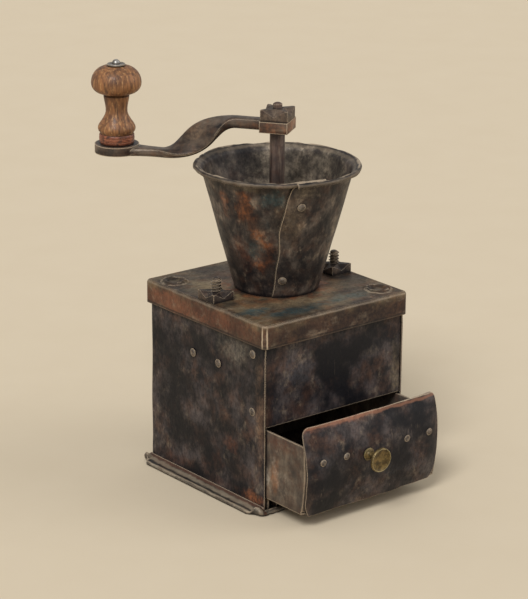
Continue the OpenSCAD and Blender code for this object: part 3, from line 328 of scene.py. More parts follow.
# %% Finish of the walls, the panel and the drawer's front
iron("body_iron", (22, 21, 28), (96, 87, 86), (96, 67, 52),
     browning=0.6, grime=1.0, frost=0.28, clouds=17, streak=(1, 1, 0.85), patches=[
         (SOOT_AND_SHADE, (-63.5, 40, 70), (6, 22, 40), 0.6),
         (SOOT_AND_SHADE, (-63.5, 10, 40), (6, 26, 12), 0.45),
         (SOOT_AND_SHADE, (-2, -110, 38), (62, 9, 30), 0.4),
         (RUST, (-63.5, -52, 8), (6, 20, 6), 0.95),
         ((120, 114, 102), (-63.5, -34, 112), (8, 24, 15), 0.7),
         (OLIVE, (-63.5, -61, 92), (6, 5, 40), 0.45),
         ((128, 98, 78), (-63.5, -62, 80), (6, 6, 52), 0.8),
         (WARM_BROWN, (-63.5, -15, 86), (6, 10, 8), 0.7),
         (WARM_BROWN, (-63.5, -22, 60), (6, 9, 10), 0.7),
         (DARK_RUST, (-63.5, -30, 42), (6, 10, 8), 0.75),
         (DARK_RUST, (-63.5, -8, 22), (6, 14, 9), 0.6),
         (DARK_RUST, (-63.5, 12, 10), (6, 60, 5), 0.45),
         (SLATE, (-63.5, 4, 74), (6, 14, 6), 0.4),
         (SLATE, (-33, -66, 100), (20, 6, 13), 0.6),
         (SLATE, (12, -66, 104), (20, 6, 20), 0.5),
         (OLIVE, (58, -66, 84), (5, 6, 26), 0.7),
         ((150, 98, 76), (-12, -108, 76), (56, 9, 4.5), 0.9),
         (SLATE, (22, -112, 34), (24, 8, 12), 0.5),
         (SLATE, (-44, -112, 43), (10, 8, 14), 0.4),
         ((116, 92, 76), (-58, -110, 20), (4, 8, 20), 0.6),
     ], lines=[
         (2, 76.4, 0.6, 0.45, [(1, -110, 10)]),
         (2, 74.8, 1.6, 0.55, [(1, -110, 10)], (146, 100, 76)),
     ])

# %% [markdown]
# The lid's rim has rusted red-brown. Its top is olive, with rust round the hopper's foot and
# blue-green stains near the front corner. Pale lines there, down the rim's rounded corner and
# along the top's rounded edge, are painted highlights. The rim's left face is painted lighter and
# its front darker, and painted shade darkens the top's border and the bosses.

# %% Finish of the lid
iron("lid_iron", (58, 49, 41), (132, 115, 88), (130, 88, 55),
     browning=0.65, clouds=17, reach=1.7, wear=(0.001, 0.03), worn=0.6, frost=0.35,
     streak=(0.6, 1, 1), bare=(125, 131), corner_shade=0.4, broken=0.45, patches=[
         ((100, 68, 52), (0, 0, 128), (400, 400, 10), 0.9),
         # The rim's left face is painted lighter and its front face darker: painted light and
         # shade.
         ((132, 82, 58), (-66, 4, 131), (7, 84, 9), 0.8),
         ((54, 40, 35), (14, -69, 129), (90, 6, 11), 0.9),
         # Painted shade along the four borders of the top, darker than its middle.
         (LID_BORDER_PAINTED_SHADE, (10, -67, 140), (78, 6, 2.6), 0.6),
         (LID_BORDER_PAINTED_SHADE, (-64, 6, 140), (5, 70, 2.6), 0.6),
         (LID_BORDER_PAINTED_SHADE, (20, 60, 140), (80, 12, 5), 0.6),
         (LID_BORDER_PAINTED_SHADE, (60, 10, 140), (10, 50, 5), 0.6),
         ((146, 126, 92), (-42, 12, 141), (13, 30, 5), 0.95),
         ((150, 130, 100), (-12, -42, 141), (34, 11, 5), 0.95),
         ((158, 94, 56), (0, 0, 140), (37, 37, 5), 1.0),
         (TEAL, (-22, -54, 141), (30, 9, 5), 1.0),
         (TEAL, (-50, -38, 141), (15, 10, 5), 0.9),
         ((84, 96, 90), (24, -52, 141), (26, 8, 5), 0.8),
         # Painted shade over the two bosses, and pale rings painted as highlights on their raised
         # edges.
         (BOSS_PAINTED_SHADE, (-54, 53, 141), (11, 11, 4), 0.8),
         (BOSS_PAINTED_SHADE, (51, -50, 141), (11, 11, 4), 0.8),
     ], rings=[
         ((52.0, -52.5, 141), 9.6, 1.4, 0.42),
         ((-53.0, 50.5, 141), 9.6, 1.4, 0.42),
     ], lines=[
         # The first line is a painted highlight on the top's rounded edge; the last two are
         # painted highlights down the rim's rounded front corner.
         (2, 138.8, 0.9, 0.15, []),
         (2, 124.0, 1.2, 0.6, [], SOOT_AND_SHADE),
         (1, -66.3, 0.7, 0.9, [(0, -65.9, 2), (2, 131, 11)]),
         (0, -63.4, 0.7, 0.9, [(1, -68.8, 2), (2, 130, 11)]),
     ])

# %% [markdown]
# The base was tinned rather than blackened, so it is lighter, and the tray is lighter too, with a
# large pale patch of painted light inside it. Along the base's skirt run a rust-brown line by the
# wall, painted highlights in the trough and on the hem's crown, and a painted shadow line just
# inside the hem.

# %% Finishes of the base and the tray
iron("base_iron", (58, 54, 49), (146, 137, 120), WARM_BROWN, clouds=12,
     streak=(1, 0.25, 1), grime=0.6, reach=1.6, lines=[
         # By the wall a rust-brown line; then painted highlights in the trough and on the hem's
         # crown, with a painted shadow line just inside the hem.
         (0, -64.6, 1.8, 0.8, [(2, 4, 8)], (84, 54, 40)),
         (0, -67.6, 2.2, 0.3, [(2, 4, 8)]),
         (0, -70.4, 1.2, 0.7, [(2, 4, 8)], SOOT_AND_SHADE),
         (0, -72.2, 1.0, 0.5, [(2, 4, 8)]),
     ])
iron("tray_iron", (88, 78, 70), (134, 120, 104), (112, 78, 58),
     browning=0.45, grime=0.4, patches=[
         # A large pale patch inside the tray: painted light, where little light reaches.
         ((226, 214, 196), (0, -66, 30), (62, 39, 26), 1.0),
         ((150, 100, 64), (-61.5, -76, 32), (6, 5, 13), 0.6),
         (DARK_RUST, (-61.5, -85, 57), (6, 22, 6), 0.6),
     ])

# %% [markdown]
# A streak of orange rust runs down the hopper's left front, between blue-green stains. Three
# pale patches of painted light keep to the faces that look inwards, on its far inside wall. Grey
# streaks on its right front are painted highlights, and lines along the rolled lip paint its
# highlights and its shade.

# %% Finish of the hopper
iron("hopper_iron", (28, 25, 28), (112, 101, 92), WARM_BROWN,
     browning=0.55, clouds=10, grime=0.75, frost=0.4, grain=6, broken=0.5,
     streak=(1, 1, 0.6), patches=[
         ((168, 104, 62), (-46, -20, 206), (9, 8, 17), 1.0),
         ((172, 108, 64), (-40, -25, 190), (8, 7, 16), 1.0),
         ((160, 98, 60), (-33, -24, 170), (9, 9, 17), 0.95),
         (RUST, (-50, -2, 205), (4, 6, 16), 0.7),
         ((122, 104, 84), (-24, -42, 204), (14, 10, 26), 0.6),
         (DARK_RUST, (-38, -8, 172), (8, 9, 18), 0.7),
         ((176, 158, 128), (-36, -26, 180), (4, 4, 12), 0.5),
         (TEAL, (-37, -39, 217), (13, 10, 9), 0.9),
         (TEAL, (-40, -28, 196), (8, 8, 8), 0.7),
         (TEAL, (-34, -20, 176), (8, 8, 10), 0.8),
         (OLIVE, (-47, -28, 226), (16, 14, 5), 0.5),
         (PALE_WEAR_AND_HIGHLIGHT, (-17, -52, 222), (8, 7, 7), 0.6),
         # Painted light on the far inside wall.
         ((186, 170, 148), (38, 34, 212), (34, 34, 26), 0.9, "inside"),
         ((120, 108, 96), (-20, 44, 210), (30, 20, 26), 0.6, "inside"),
         ((182, 166, 142), (52, 4, 220), (12, 26, 12), 0.7, "inside"),
         # Painted highlights: a light swath down the hopper's right front.
         (PAINTED_HIGHLIGHT_GREY, (25, -46, 214), (4, 5, 15), 0.8),
         (PAINTED_HIGHLIGHT_GREY, (21, -40, 191), (4, 5, 15), 0.7),
         ((140, 124, 104), (18, -34, 168), (4, 5, 13), 0.5),
         (SOOT_AND_SHADE, (8, -46, 190), (10, 12, 24), 0.6),
     ], lines=[
         # The rolled lip's painted highlights, on its inner and outer edges, and its painted
         # shade between them.
         (2, 229.6, 1.6, 0.3, [], PAINTED_HIGHLIGHT_GREY),
         (2, 230.7, 0.7, 0.5, [], SOOT_AND_SHADE),
         (2, 231.9, 1.1, 0.6, []),
     ])

# %% [markdown]
# Small forged pieces are worn all over their edges. The crank's grain follows its arm, which
# points 125 degrees round from the right, and its head block has rusted. Pale patches are painted
# light on the hopper's rivet heads, on the crank's nut and on the broad face of the crank's leaf.

# %% Finishes of the forged and turned metal
iron("rivet_iron", (80, 73, 67), (142, 131, 118), (116, 90, 68),
     clouds=2.4, worn=1.0, reach=0.6, grime=0.4, patches=[
         # Painted highlight on the hopper's rivet heads.
         ((176, 168, 154), (16, -40, 190), (40, 40, 44), 0.75),
     ])
iron("forged_iron", (36, 31, 29), (108, 92, 78), (104, 74, 56),
     clouds=6, worn=0.95, reach=0.8, wear=(0.01, 0.12), grime=0.6, patches=[
         # Painted light on the crank's nut.
         ((122, 104, 88), (0, 0, 266), (22, 22, 10), 0.8),
     ])
iron("crank_iron", (36, 31, 30), (120, 105, 91), (112, 80, 60),
     clouds=9, gloss=0.42, wear=(0.003, 0.06), grime=0.45,
     streak=(0.16, 0.7, 1), turn=125, patches=[
         ((168, 110, 76), (0, 0, 257), (18, 18, 7), 0.95),
         # Painted highlight on the broad face of the leaf.
         ((134, 112, 90), (-38, 50, 248), (14, 18, 9), 0.6),
     ])
iron("shaft_iron", (58, 46, 42), (124, 104, 92), (96, 66, 52),
     clouds=5, gloss=0.4, streak=(1.6, 1.6, 0.12), grime=0.4)
iron("burr_iron", (36, 34, 33), (70, 66, 62), (70, 52, 42), clouds=6)
iron("bright_steel", (112, 110, 106), (184, 182, 178), (128, 112, 92),
     browning=0.3, clouds=4, gloss=0.36, metal=0.6, grime=0.35)
print(*finishes)

# %% [markdown]
# ## Turned wood, its ring and the brass pull
# The handle was turned from a straight-grained block. Year rings come from a Wave texture that
# leans a little, so a round cut through them draws arches by itself, and noise stretched along
# the upright axis gives the long streaks of the fibres.

# %% Wood
f = Finish("turned_wood")
off_heart = tuple(-handle_at * MM + Vector((0.02, 0.014, 0)))
leaning = f.node("ShaderNodeMapping", f.place, off_heart, (0.3, 0.34, 0), (1, 1, 0.3))
rings = f.node("ShaderNodeTexWave", sockets={
    "Vector": leaning, "Scale": 115.0, "Distortion": 9.0, "Detail": 3.0, "Detail Scale": 0.8,
    "Detail Roughness": 0.6}, out="Fac", wave_type="RINGS", rings_direction="Z")
fibres = f.noise(0.9, detail=4, stretch=(1, 1, 0.07))
clouds = f.cloudy(10, 0.3, 0.62, detail=6, stretch=(1, 1, 0.5), seed=2)
pale_streaks = f.cloudy(2, 0.52, 0.66, detail=6, stretch=(1, 1, 0.22), seed=6)
dark_streaks = f.cloudy(2.6, 0.48, 0.64, detail=7, stretch=(1, 1, 0.22), seed=4)
colour = f.lay((84, 51, 29),
               ((148, 100, 59), clouds),
               ((86, 52, 30), f.ease(rings, 0.45, 1.0) * 0.42),
               ((84, 52, 30), f.ease(fibres, 0.52, 0.68) * 0.4),
               ((190, 144, 94), pale_streaks * 0.6),
               ((54, 32, 20), dark_streaks * 0.6),
               # painted shade in the grooves and hollows, from ambient occlusion
               ((40, 24, 16), f.seam(5, 0.45, 0.95) * 0.8))
finishes["turned_wood"] = f.feed(
    Base_Color=colour, Roughness=f.noise(7, seed=4) * 0.2 + 0.46, Coat_Weight=0.05,
    Normal=f.bump(0.15, 0.2, fibres))

# %% Ring
f = Finish("red_ring")
colour = f.lay((98, 50, 34),
               ((152, 90, 62), f.cloudy(4, 0.35, 0.65, stretch=(1, 1, 3))),
               ((46, 27, 22), f.cloudy(3.5, 0.48, 0.62, detail=6, seed=6) * 0.8),
               # painted shade where the ring meets the wood and the arm
               ((40, 24, 20), f.seam(3, 0.4, 0.95) * 0.8),
               ((190, 130, 96), f.edge(0.6) * 0.4))
finishes["red_ring"] = f.feed(Base_Color=colour, Roughness=f.noise(3) * 0.2 + 0.38)

# %% Brass
f = Finish("pull_brass")
colour = f.lay((72, 58, 34),
               ((122, 102, 62), f.cloudy(4, 0.36, 0.64)),
               ((60, 54, 34), f.cloudy(2.4, 0.48, 0.66, detail=6, seed=7) * 0.7),
               # painted shade round the neck and in the dish
               ((34, 28, 20), f.seam(2.5, 0.4, 0.95) * 0.7),
               ((206, 190, 140), f.edge(0.8) * 0.75))
finishes["pull_brass"] = f.feed(
    Base_Color=colour, Metallic=0.6, Roughness=f.noise(4, seed=3) * 0.2 + 0.34)
print(len(finishes), "finishes")

# %% [markdown]
# ## Dressing the nodes
# Each node of the model gets the finish of its slot. The hidden works inside stay as they are,
# because their shape is already the real one.

# %% Finishes on the nodes
def dress(piece, slot):
    piece.data.materials.clear()
    piece.data.materials.append(finishes[slot])


for name, node in nodes.items():
    dress(node, slots[name])
print("dressed", len(nodes), "nodes")

# %% [markdown]
# ## Two ways to make a piece
# Nearly all of the mill is either turned or bent from sheet, so two helpers carry most of the
# modelling. A turned piece starts as one disc that is pulled up and scaled from ring to ring. A
# sheet piece starts as a flat grid, whose points a rule pushes to their places, as hands would
# bend it. The sheet then gets its thickness and a fine bevel along its cut edges.

# %% Helpers for modelling
def let_go():
    """Leaves every piece unselected, so that an operator acts only on what comes next."""
    if bpy.context.object and bpy.context.object.mode != "OBJECT":
        bpy.ops.object.mode_set(mode="OBJECT")
    bpy.ops.object.select_all(action="DESELECT")


def pick(*pieces):
    let_go()
    for piece in pieces:
        piece.select_set(True)
    bpy.context.view_layer.objects.active = pieces[0]


def place_in_mesh(turned_too=True):
    """Moves the picked piece's place and turn into its mesh, so that its origin stays at 0."""
    bpy.ops.object.transform_apply(location=True, rotation=turned_too, scale=False)


def edit_all():
    bpy.ops.object.mode_set(mode="EDIT")
    bpy.ops.mesh.select_all(action="SELECT")


def merge_close(gap):
    """Joins points of the piece that lie closer than a gap in mm."""
    bpy.ops.mesh.remove_doubles(threshold=gap * MM)


def face_outwards():
    bpy.ops.mesh.select_all(action="SELECT")
    bpy.ops.mesh.normals_make_consistent(inside=False)
    bpy.ops.object.mode_set(mode="OBJECT")


def modify(piece, kind, **settings):
    """Adds a modifier and applies it."""
    pick(piece)
    made = piece.modifiers.new(kind, kind)
    for name, value in settings.items():
        setattr(made, name, value)
    bpy.ops.object.modifier_apply(modifier=made.name)


def bevelled(piece, width, from_angle, **settings):
    """Rounds the edges that are sharper than an angle in degrees; the width is in mm."""
    modify(piece, "BEVEL", width=width * MM, segments=2, limit_method="ANGLE",
           angle_limit=math.radians(from_angle), **settings)


def smooth(piece, crease):
    """Shades a piece smooth, apart from edges sharper than a crease in degrees."""
    pick(piece)
    bpy.ops.object.shade_smooth_by_angle(angle=math.radians(crease))
    return piece


def join(name, *pieces):
    pick(*pieces)
    bpy.ops.object.join()
    pieces[0].name = name
    return pieces[0]


def seat(piece, node):
    """Gives a finished piece its finish, the body it rides on and the node it stands for."""
    dress(piece, slots[node])
    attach(piece, bodies[node])
    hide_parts(node)
    print(piece.name, len(piece.data.polygons), "faces, stands for", node)


# %% A turned piece
def turned(name, outline, at=(0, 0, 0), towards=(0, 0, 1), sides=64, crease=35):
    """Pulls a disc up through the rings of an outline, given as (radius, height) in mm."""
    let_go()
    (radius, height), *rings = outline
    bpy.ops.mesh.primitive_circle_add(vertices=sides, radius=radius * MM, fill_type="NGON",
                                      location=(0, 0, height * MM))
    piece = bpy.context.object
    piece.name = name
    place_in_mesh(turned_too=False)
    edit_all()
    for wide, high in rings:
        bpy.ops.mesh.extrude_region_move(
            TRANSFORM_OT_translate={"value": (0, 0, (high - height) * MM)})
        bpy.ops.transform.resize(value=(wide / radius, wide / radius, 1),
                                 center_override=(0, 0, high * MM))
        radius, height = wide, high
    face_outwards()
    piece.rotation_euler = Vector(towards).to_track_quat("Z", "Y").to_euler()
    piece.location = Vector(at) * MM
    place_in_mesh()
    return smooth(piece, crease)


# %% A piece bent from sheet
def sheet(name, columns, rows, place, thick, bevel=0.3, closed=False):
    """Bends a flat grid by a rule from (0..1, 0..1) to a place in mm, and thickens it.

    A closed sheet's two ends meet, and are merged. A negative thickness grows outwards."""
    let_go()
    bpy.ops.mesh.primitive_grid_add(x_subdivisions=columns, y_subdivisions=rows, size=2)
    piece = bpy.context.object
    piece.name = name
    for point in piece.data.vertices:
        point.co = Vector(place((point.co.x + 1) / 2, (point.co.y + 1) / 2)) * MM
    if closed:
        edit_all()
        merge_close(0.01)
    modify(piece, "SOLIDIFY", thickness=thick * MM, offset=-1, use_even_offset=True)
    if bevel:
        bevelled(piece, bevel, 50)
    return smooth(piece, 40)


def wave(x, y, z, size):
    """Smooth noise from -1 to 1, with humps of a size in mm."""
    return noise.noise(Vector((x, y, z)) / size)


def rise(value, low, high):
    """0 below low, 1 above high, and a smooth rise between them."""
    share = min(1, max(0, (value - low) / (high - low)))
    return share * share * (3 - 2 * share)


def fall(value, low, high):
    return 1 - rise(value, low, high)


# %% [markdown]
# ## The hopper
# A sheet is wound into a cone and riveted along its lap, which shows as one wandering line. Its
# rim flares and is rolled over to stiffen it, and a century of knocks has dented that roll. The
# grid runs once round and a little more, and its two ends overlap, one sheet inside the other.

# %% The hopper's sizes
FOOT_R, MOUTH_R, CONE_H = 29.6, 53.4, 86.2
FLARE_OUT, FLARE_UP = 5.5, 5.1
ROLL_R, ROLL_Z, ROLL_TURN = 1.9, 89.4, 160
HOPPER_H, HOPPER_T = 91.4, 1.3
FOOT_ANGLE, TOP_ANGLE, LAP = 225, 245, 22
CONE_ROWS, FLARE_ROWS = 0.7, 0.84


def hopper_outline(v):
    """Radius and height of the sheet: the cone, then its flare, then the rolled edge."""
    if v < CONE_ROWS:
        return FOOT_R + (MOUTH_R - FOOT_R) * v / CONE_ROWS, CONE_H * v / CONE_ROWS
    if v < FLARE_ROWS:
        share = (v - CONE_ROWS) / (FLARE_ROWS - CONE_ROWS)
        return MOUTH_R + FLARE_OUT * share ** 1.25, CONE_H + FLARE_UP * share ** 0.75
    roll = math.radians(ROLL_TURN * (v - FLARE_ROWS) / (1 - FLARE_ROWS))
    return MOUTH_R + FLARE_OUT + ROLL_R * math.sin(roll), ROLL_Z + ROLL_R * math.cos(roll)


# %% The wound sheet
def dented(angle):
    """The knocks of the rim, from -1 to 1, at an angle in degrees."""
    a = math.radians(angle)
    return (math.sin(5 * a + 0.7) + 0.7 * math.sin(11 * a) + 0.5 * math.sin(17 * a + 1.57)) / 2.2


def hopper_place(u, v):
    turn = u * (360 + LAP)
    radius, height = hopper_outline(v)
    near_rim = (height / HOPPER_H) ** 6

    # The lap leans round the cone, and the shears wandered along its outer end.
    angle = FOOT_ANGLE + (TOP_ANGLE - FOOT_ANGLE) * min(1, v / FLARE_ROWS) + turn
    sheared = 2.0 * math.sin(v * 9) + 0.7 * math.sin(v * 26)
    angle += sheared * (1 - near_rim) * fall(turn, 0, 40)

    # One end lies outside the other, the rim is dented and the cone is a little uneven.
    radius += (HOPPER_T + 0.1) * (1 - turn / 360) - HOPPER_T
    radius += near_rim * (0.6 * dented(angle) - 0.5 * rise(turn, 330, 382) - 0.6)
    away_from_lap = rise(turn, 0, 30) * fall(turn, 335, 360)
    radius += 0.35 * wave(turn / 9, height, 3, 17) * rise(height, 8, 40) * away_from_lap

    # The rim wavers, drops at its outer end, and has small nicks and one torn place.
    ends = 0.5 * rise(turn, 350, 380) - 0.9 * fall(turn, 0, 14)
    height += near_rim * (0.6 * dented(angle + 50) + ends)
    height -= near_rim * 1.5 * max(0, wave(angle, 5, 0, 7) - 0.1)
    torn = rise(turn, 228, 231) * fall(turn, 243, 247)
    height -= near_rim * torn * 1.3 * abs(math.sin(turn * 0.9))
    radius += near_rim * torn * 0.5 * math.sin(turn * 1.3)
    a = math.radians(angle)
    return radius * math.cos(a), radius * math.sin(a), LID_TOP + height


hopper = sheet("hopper_shown", 150, 46, hopper_place, thick=-HOPPER_T)
seat(hopper, "hopper")

# %% [markdown]
# ## The lid
# The slip-over lid is one pressed sheet: a flat top with two round bosses, a rounded edge and a
# deep rim. Its grid runs round the hopper's foot and outwards, over the edge and down the rim.

# %% The outline of a box with round corners
def rounded(u, half_x, half_y, radius):
    """A point on a rectangle with round corners, and the way that it faces."""
    straight = 0.62
    quarter, along = divmod(u * 4, 1)
    turn = math.radians(90 * (quarter % 4))
    reach, half = (half_x, half_y) if quarter % 2 == 0 else (half_y, half_x)
    if along < straight:
        x, y, lean = reach, (half - radius) * (along / (straight / 2) - 1), 0.0
    else:
        lean = math.radians(90 * (along - straight) / (1 - straight))
        x, y = reach - radius + radius * math.cos(lean), half - radius + radius * math.sin(lean)
    spun = turn + lean
    return (x * math.cos(turn) - y * math.sin(turn), x * math.sin(turn) + y * math.cos(turn),
            math.cos(spun), math.sin(spun))


# %% The pressed lid
LID_X, LID_Y, LID_CORNER, LID_EDGE = 66, 69.2, 4, 2.2
LID_HOLE, LID_RIM = 28, 14.8
TOP_ROWS, EDGE_ROWS = 0.62, 0.76
BOLT_X = 54.5
BOSSES = [(52.5, -51.5), (-52.5, 51.5)]


def boss_rise(x, y):
    """A raised ring with a dished middle."""
    away = min(math.dist((x, y), boss) for boss in BOSSES)
    return 1.5 * fall(away, 7.8, 10.2) - 2.1 * fall(away, 3.2, 7.6)


def lid_top(x, y, face_x, face_y, share):
    """The top, from the hole below the hopper out to the rounded edge, sunk a little."""
    out_x, out_y = x - face_x * LID_EDGE, y - face_y * LID_EDGE
    far = math.hypot(x, y)
    in_x, in_y = LID_HOLE * x / far, LID_HOLE * y / far
    x, y = in_x + (out_x - in_x) * share, in_y + (out_y - in_y) * share
    by_hopper = rise(math.hypot(x, y), 34, 46)
    by_bolts = rise(abs(math.hypot(abs(x) - BOLT_X, y)), 12, 20)
    sunk = 0.35 * min(by_hopper, by_bolts) * (0.5 + 0.5 * wave(x, y, 1, 30))
    return x, y, LID_TOP + boss_rise(x, y) - sunk


def lid_place(u, v):
    v = 1 - v  # taken from the far side, so that the sheet faces outwards
    x, y, face_x, face_y = rounded(u, LID_X, LID_Y, LID_CORNER)
    if v < TOP_ROWS:
        return lid_top(x, y, face_x, face_y, v / TOP_ROWS)
    z = LID_TOP - LID_EDGE
    if v < EDGE_ROWS:
        lean = math.radians(90 * (v - TOP_ROWS) / (EDGE_ROWS - TOP_ROWS))
        inset = LID_EDGE - LID_EDGE * math.sin(lean)
        return x - face_x * inset, y - face_y * inset, z + LID_EDGE * math.cos(lean)
    down = (v - EDGE_ROWS) / (1 - EDGE_ROWS)
    out = -0.3 * down * (0.5 + 0.5 * wave(x, y, 9 * down, 26)) * (1 - down)
    z += 0.25 * down * wave(x, y, 5, 21) - LID_RIM * down
    return x + face_x * out, y + face_y * out, z


lid = sheet("lid_shown", 208, 60, lid_place, thick=1.3, closed=True)
seat(lid, "lid")

# %% [markdown]
# ## The box
# One sheet goes round the right side, the back and the left side. It is a little dented, and
# near its front edges it has taken the shape of the flanges that are riveted behind it. The
# panel above the drawer is a second sheet, bent back along both sides.

# %% The walls
WALL_LOW, WALL_TALL = 1.2, 137.4
SIDE, BEND, BACK = 130, 7, 121
BEND_R = 4
BACK_X, BACK_Y = WALL_X - BEND_R, WALL_Y - BEND_R


def round_the_box(path):
    """A place along the walls, from the right front edge to the left one, and its facing."""
    if path < SIDE:
        return WALL_X, path - WALL_Y, 0.0
    path -= SIDE
    if path < BEND:
        face = math.radians(90 * path / BEND)
        return BACK_X + BEND_R * math.cos(face), BACK_Y + BEND_R * math.sin(face), face
    path -= BEND
    if path < BACK:
        return BACK_X - 2 * BACK_X * path / BACK, WALL_Y, math.radians(90)
    path -= BACK
    if path < BEND:
        face = math.radians(90 + 90 * path / BEND)
        return -BACK_X + BEND_R * math.cos(face), BACK_Y + BEND_R * math.sin(face), face
    return -WALL_X, BACK_Y - (path - BEND), math.radians(180)


def walls_place(u, v):
    z = WALL_LOW + WALL_TALL * v
    x, y, face = round_the_box(u * (2 * (SIDE + BEND) + BACK))
    free = rise(z, 6, 22) * fall(z, 104, 122) * rise(y + WALL_Y, 2, 18)
    out = 0.45 * free * (wave(x, y, z, 34) - 0.35)
    flange = 53.5 + 0.8 * math.sin(z / 9) + 6 * fall(z, 60, 70)
    out += 0.4 * fall(y, -flange - 3, -flange + 3) * rise(z, 56, 66) * fall(z, 115, 123)
    out -= 0.4 * fall(y, -WALL_Y, -65.6) * rise(z, 8, 12)
    return x + out * math.cos(face), y + out * math.sin(face), z


walls = sheet("walls_shown", 240, 90, walls_place, thick=1.1, bevel=0.25)
seat(walls, "body_wrap")


# %% The panel above the drawer
PANEL_X, PANEL_Y, FLANGE = 62.3, -66, 17
PANEL_LOW, PANEL_TALL = 64, 74.6


def panel_place(u, v):
    z = PANEL_LOW + PANEL_TALL * v
    width = 2 * PANEL_X
    path = u * (width + 2 * FLANGE)
    if path < FLANGE:
        x, y = -PANEL_X, PANEL_Y + FLANGE - path
    elif path < FLANGE + width:
        x, y = path - FLANGE - PANEL_X, PANEL_Y
    else:
        x, y = PANEL_X, PANEL_Y + (path - FLANGE - width)
    inner = rise(PANEL_X - abs(x), 2, 14) * rise(z, 66, 74) * fall(z, 116, 124)
    y += 0.5 * inner * (wave(x, 2, z, 30) + 0.2)
    return x, y, z + 0.4 * (1 - v) * math.sin(x / 11) * inner


panel = sheet("panel_shown", 160, 50, panel_place, thick=1.1)
seat(panel, "front_panel")

# %% [markdown]
# ## The base
# The base sheet is folded up into a sloping skirt at each side, with a rolled hem along its
# edge. At the corners the tinsmith only folded and hammered it flat, and the sheet crumpled.
# The skirt is one strip round the whole foot, and its section shrinks and creases at each corner.

# %% Skirt and base sheet
HEM_R, SLOPE_ROWS, MOST_OUT = 1.3, 0.6, 10.1
PLATE_X, PLATE_Y, PLATE_TOP = 128, 138, 1.15


def skirt_place(u, v):
    v = 1 - v  # taken from the far side, so that the sheet faces outwards
    x, y, face_x, face_y = rounded(u, WALL_X, WALL_Y, 0.6)
    side = abs(face_x) ** 2
    to_corner = WALL_Y - abs(y)
    corner = fall(to_corner, 1, 9)
    reach = 3.4 + 5.3 * side * (1 - 0.75 * corner) + 1.5 * side * (1 - corner) - HEM_R
    tall = 2.9 + 2.6 * side
    hammered = 0.9 * math.sin(y * 1.9 + x * 1.3 + v * 4) + 0.8 * wave(x, y, v * 6, 2.2)
    creases = corner * hammered
    ear = max(0, 1 - (abs(to_corner - 2.2) / 3.4) ** 2) * side
    if v < SLOPE_ROWS:
        share = v / SLOPE_ROWS
        sag = 0.8 * creases * share * (1 - share) - 0.5 * math.sin(math.pi * share) * side
        out, z = reach * share, tall - (tall - 2 * HEM_R) * share ** 0.75 + sag
    else:
        roll = math.radians(200 * (v - SLOPE_ROWS) / (1 - SLOPE_ROWS))
        out, z = reach + HEM_R * math.sin(roll), HEM_R + HEM_R * math.cos(roll)
    out += 0.6 * creases * v + 0.22 * wave(y, x, 3, 15) * v * side + 1.5 * ear * v * (1 - v) * 4
    out = min(MOST_OUT, out) - 0.2
    z += 0.16 * wave(y, x, 7, 11) * side * (1 - abs(2 * v - 1))
    z += 0.7 * creases * (0.5 - abs(v - 0.5)) + 3.8 * ear * math.sin(math.pi * v) ** 2
    return x + face_x * out, y + face_y * out, max(0.02, z)


def plate_place(u, v):
    uneven = 0.12 * (1 + wave(90 * u, 90 * v, 4, 21))
    return PLATE_X * (u - 0.5), PLATE_Y * (v - 0.5), PLATE_TOP - uneven


skirt = sheet("base_shown", 336, 22, skirt_place, thick=0.5, bevel=0, closed=True)
plate = sheet("base_plate", 48, 52, plate_place, thick=0.85, bevel=0.25)
seat(join("base_shown", skirt, plate), "base_pan")

# %% [markdown]
# ## The drawer's front
# The front is a bulged sheet with rounded upper corners and ends that curl back. Years of use
# have pushed its right end up, and nothing about its outline is straight any more.

# %% Front sheet
FRONT_Y, BULGE, FRONT_HALF, FRONT_CORNER = -107.6, 6, 62, 6
FRONT_LOW, FRONT_TALL, FRONT_HIGH = 10, 66.3, 76.5
FRONT_MIDDLE = (FRONT_LOW + FRONT_HIGH) / 2


def front_y(x, z):
    """How far forward the bulged front lies at a place."""
    ends = max(0, (abs(x) - 46) / 16) ** 2
    bulge = max(0, 1 - ((z - FRONT_MIDDLE) / (FRONT_HIGH - FRONT_MIDDLE)) ** 2)
    return FRONT_Y - BULGE * bulge * (1 - 0.45 * ends) + 1.6 * ends


def front_place(u, v):
    z = FRONT_LOW + FRONT_TALL * v
    up = FRONT_CORNER - (FRONT_HIGH - z)
    corner = FRONT_CORNER - math.sqrt(max(0, FRONT_CORNER ** 2 - up ** 2)) if up > 0 else 0
    half = FRONT_HALF - corner - 4 * max(0, 1 - (z - FRONT_LOW) / 12) ** 2
    across = 2 * u - 1

    # Both ends wander: the left one in and out, the right one inwards.
    x = (half - 0.35 + 0.35 * wave(z, 4 * u, 0, 9)) * across
    x += (1.0 * fall(z, 40, 62) - 0.9 * rise(z, 54, 70)) * max(0, -across) ** 3
    x -= (1.4 + 1.4 * rise(z, 52, 75) + 0.8 * fall(z, 16, 36)) * max(0, across) ** 3
    y = front_y(x, z) + 0.4 * wave(x, 1, z, 16) * (1 - abs(across) ** 6) * fall(v, 0.85, 1)

    # The lower and upper edges waver, and the right end stands higher.
    z += fall(v, 0, 0.12) * (0.25 + 0.5 * wave(x, 8, 0, 13))
    z -= 0.4 * rise(v, 0.8, 1) * (0.5 + 0.5 * wave(x, 3, 0, 17))
    z += 1.6 * max(0, (x - 10) / 52) ** 1.5 * rise(v, 0.3, 1)
    z += 1.8 * max(0, x / FRONT_HALF) ** 1.5 * fall(v, 0, 0.5)
    return x, y, z


front = sheet("front_shown", 130, 66, front_place, thick=1.2)
seat(front, "drawer_front")

# %% [markdown]
# ## The turned handle
# The knob, waist and bulb are one piece of wood between a red ring and a steel washer. Fine
# grooves mark where the turner's tool changed direction, below the knob and above the ring.

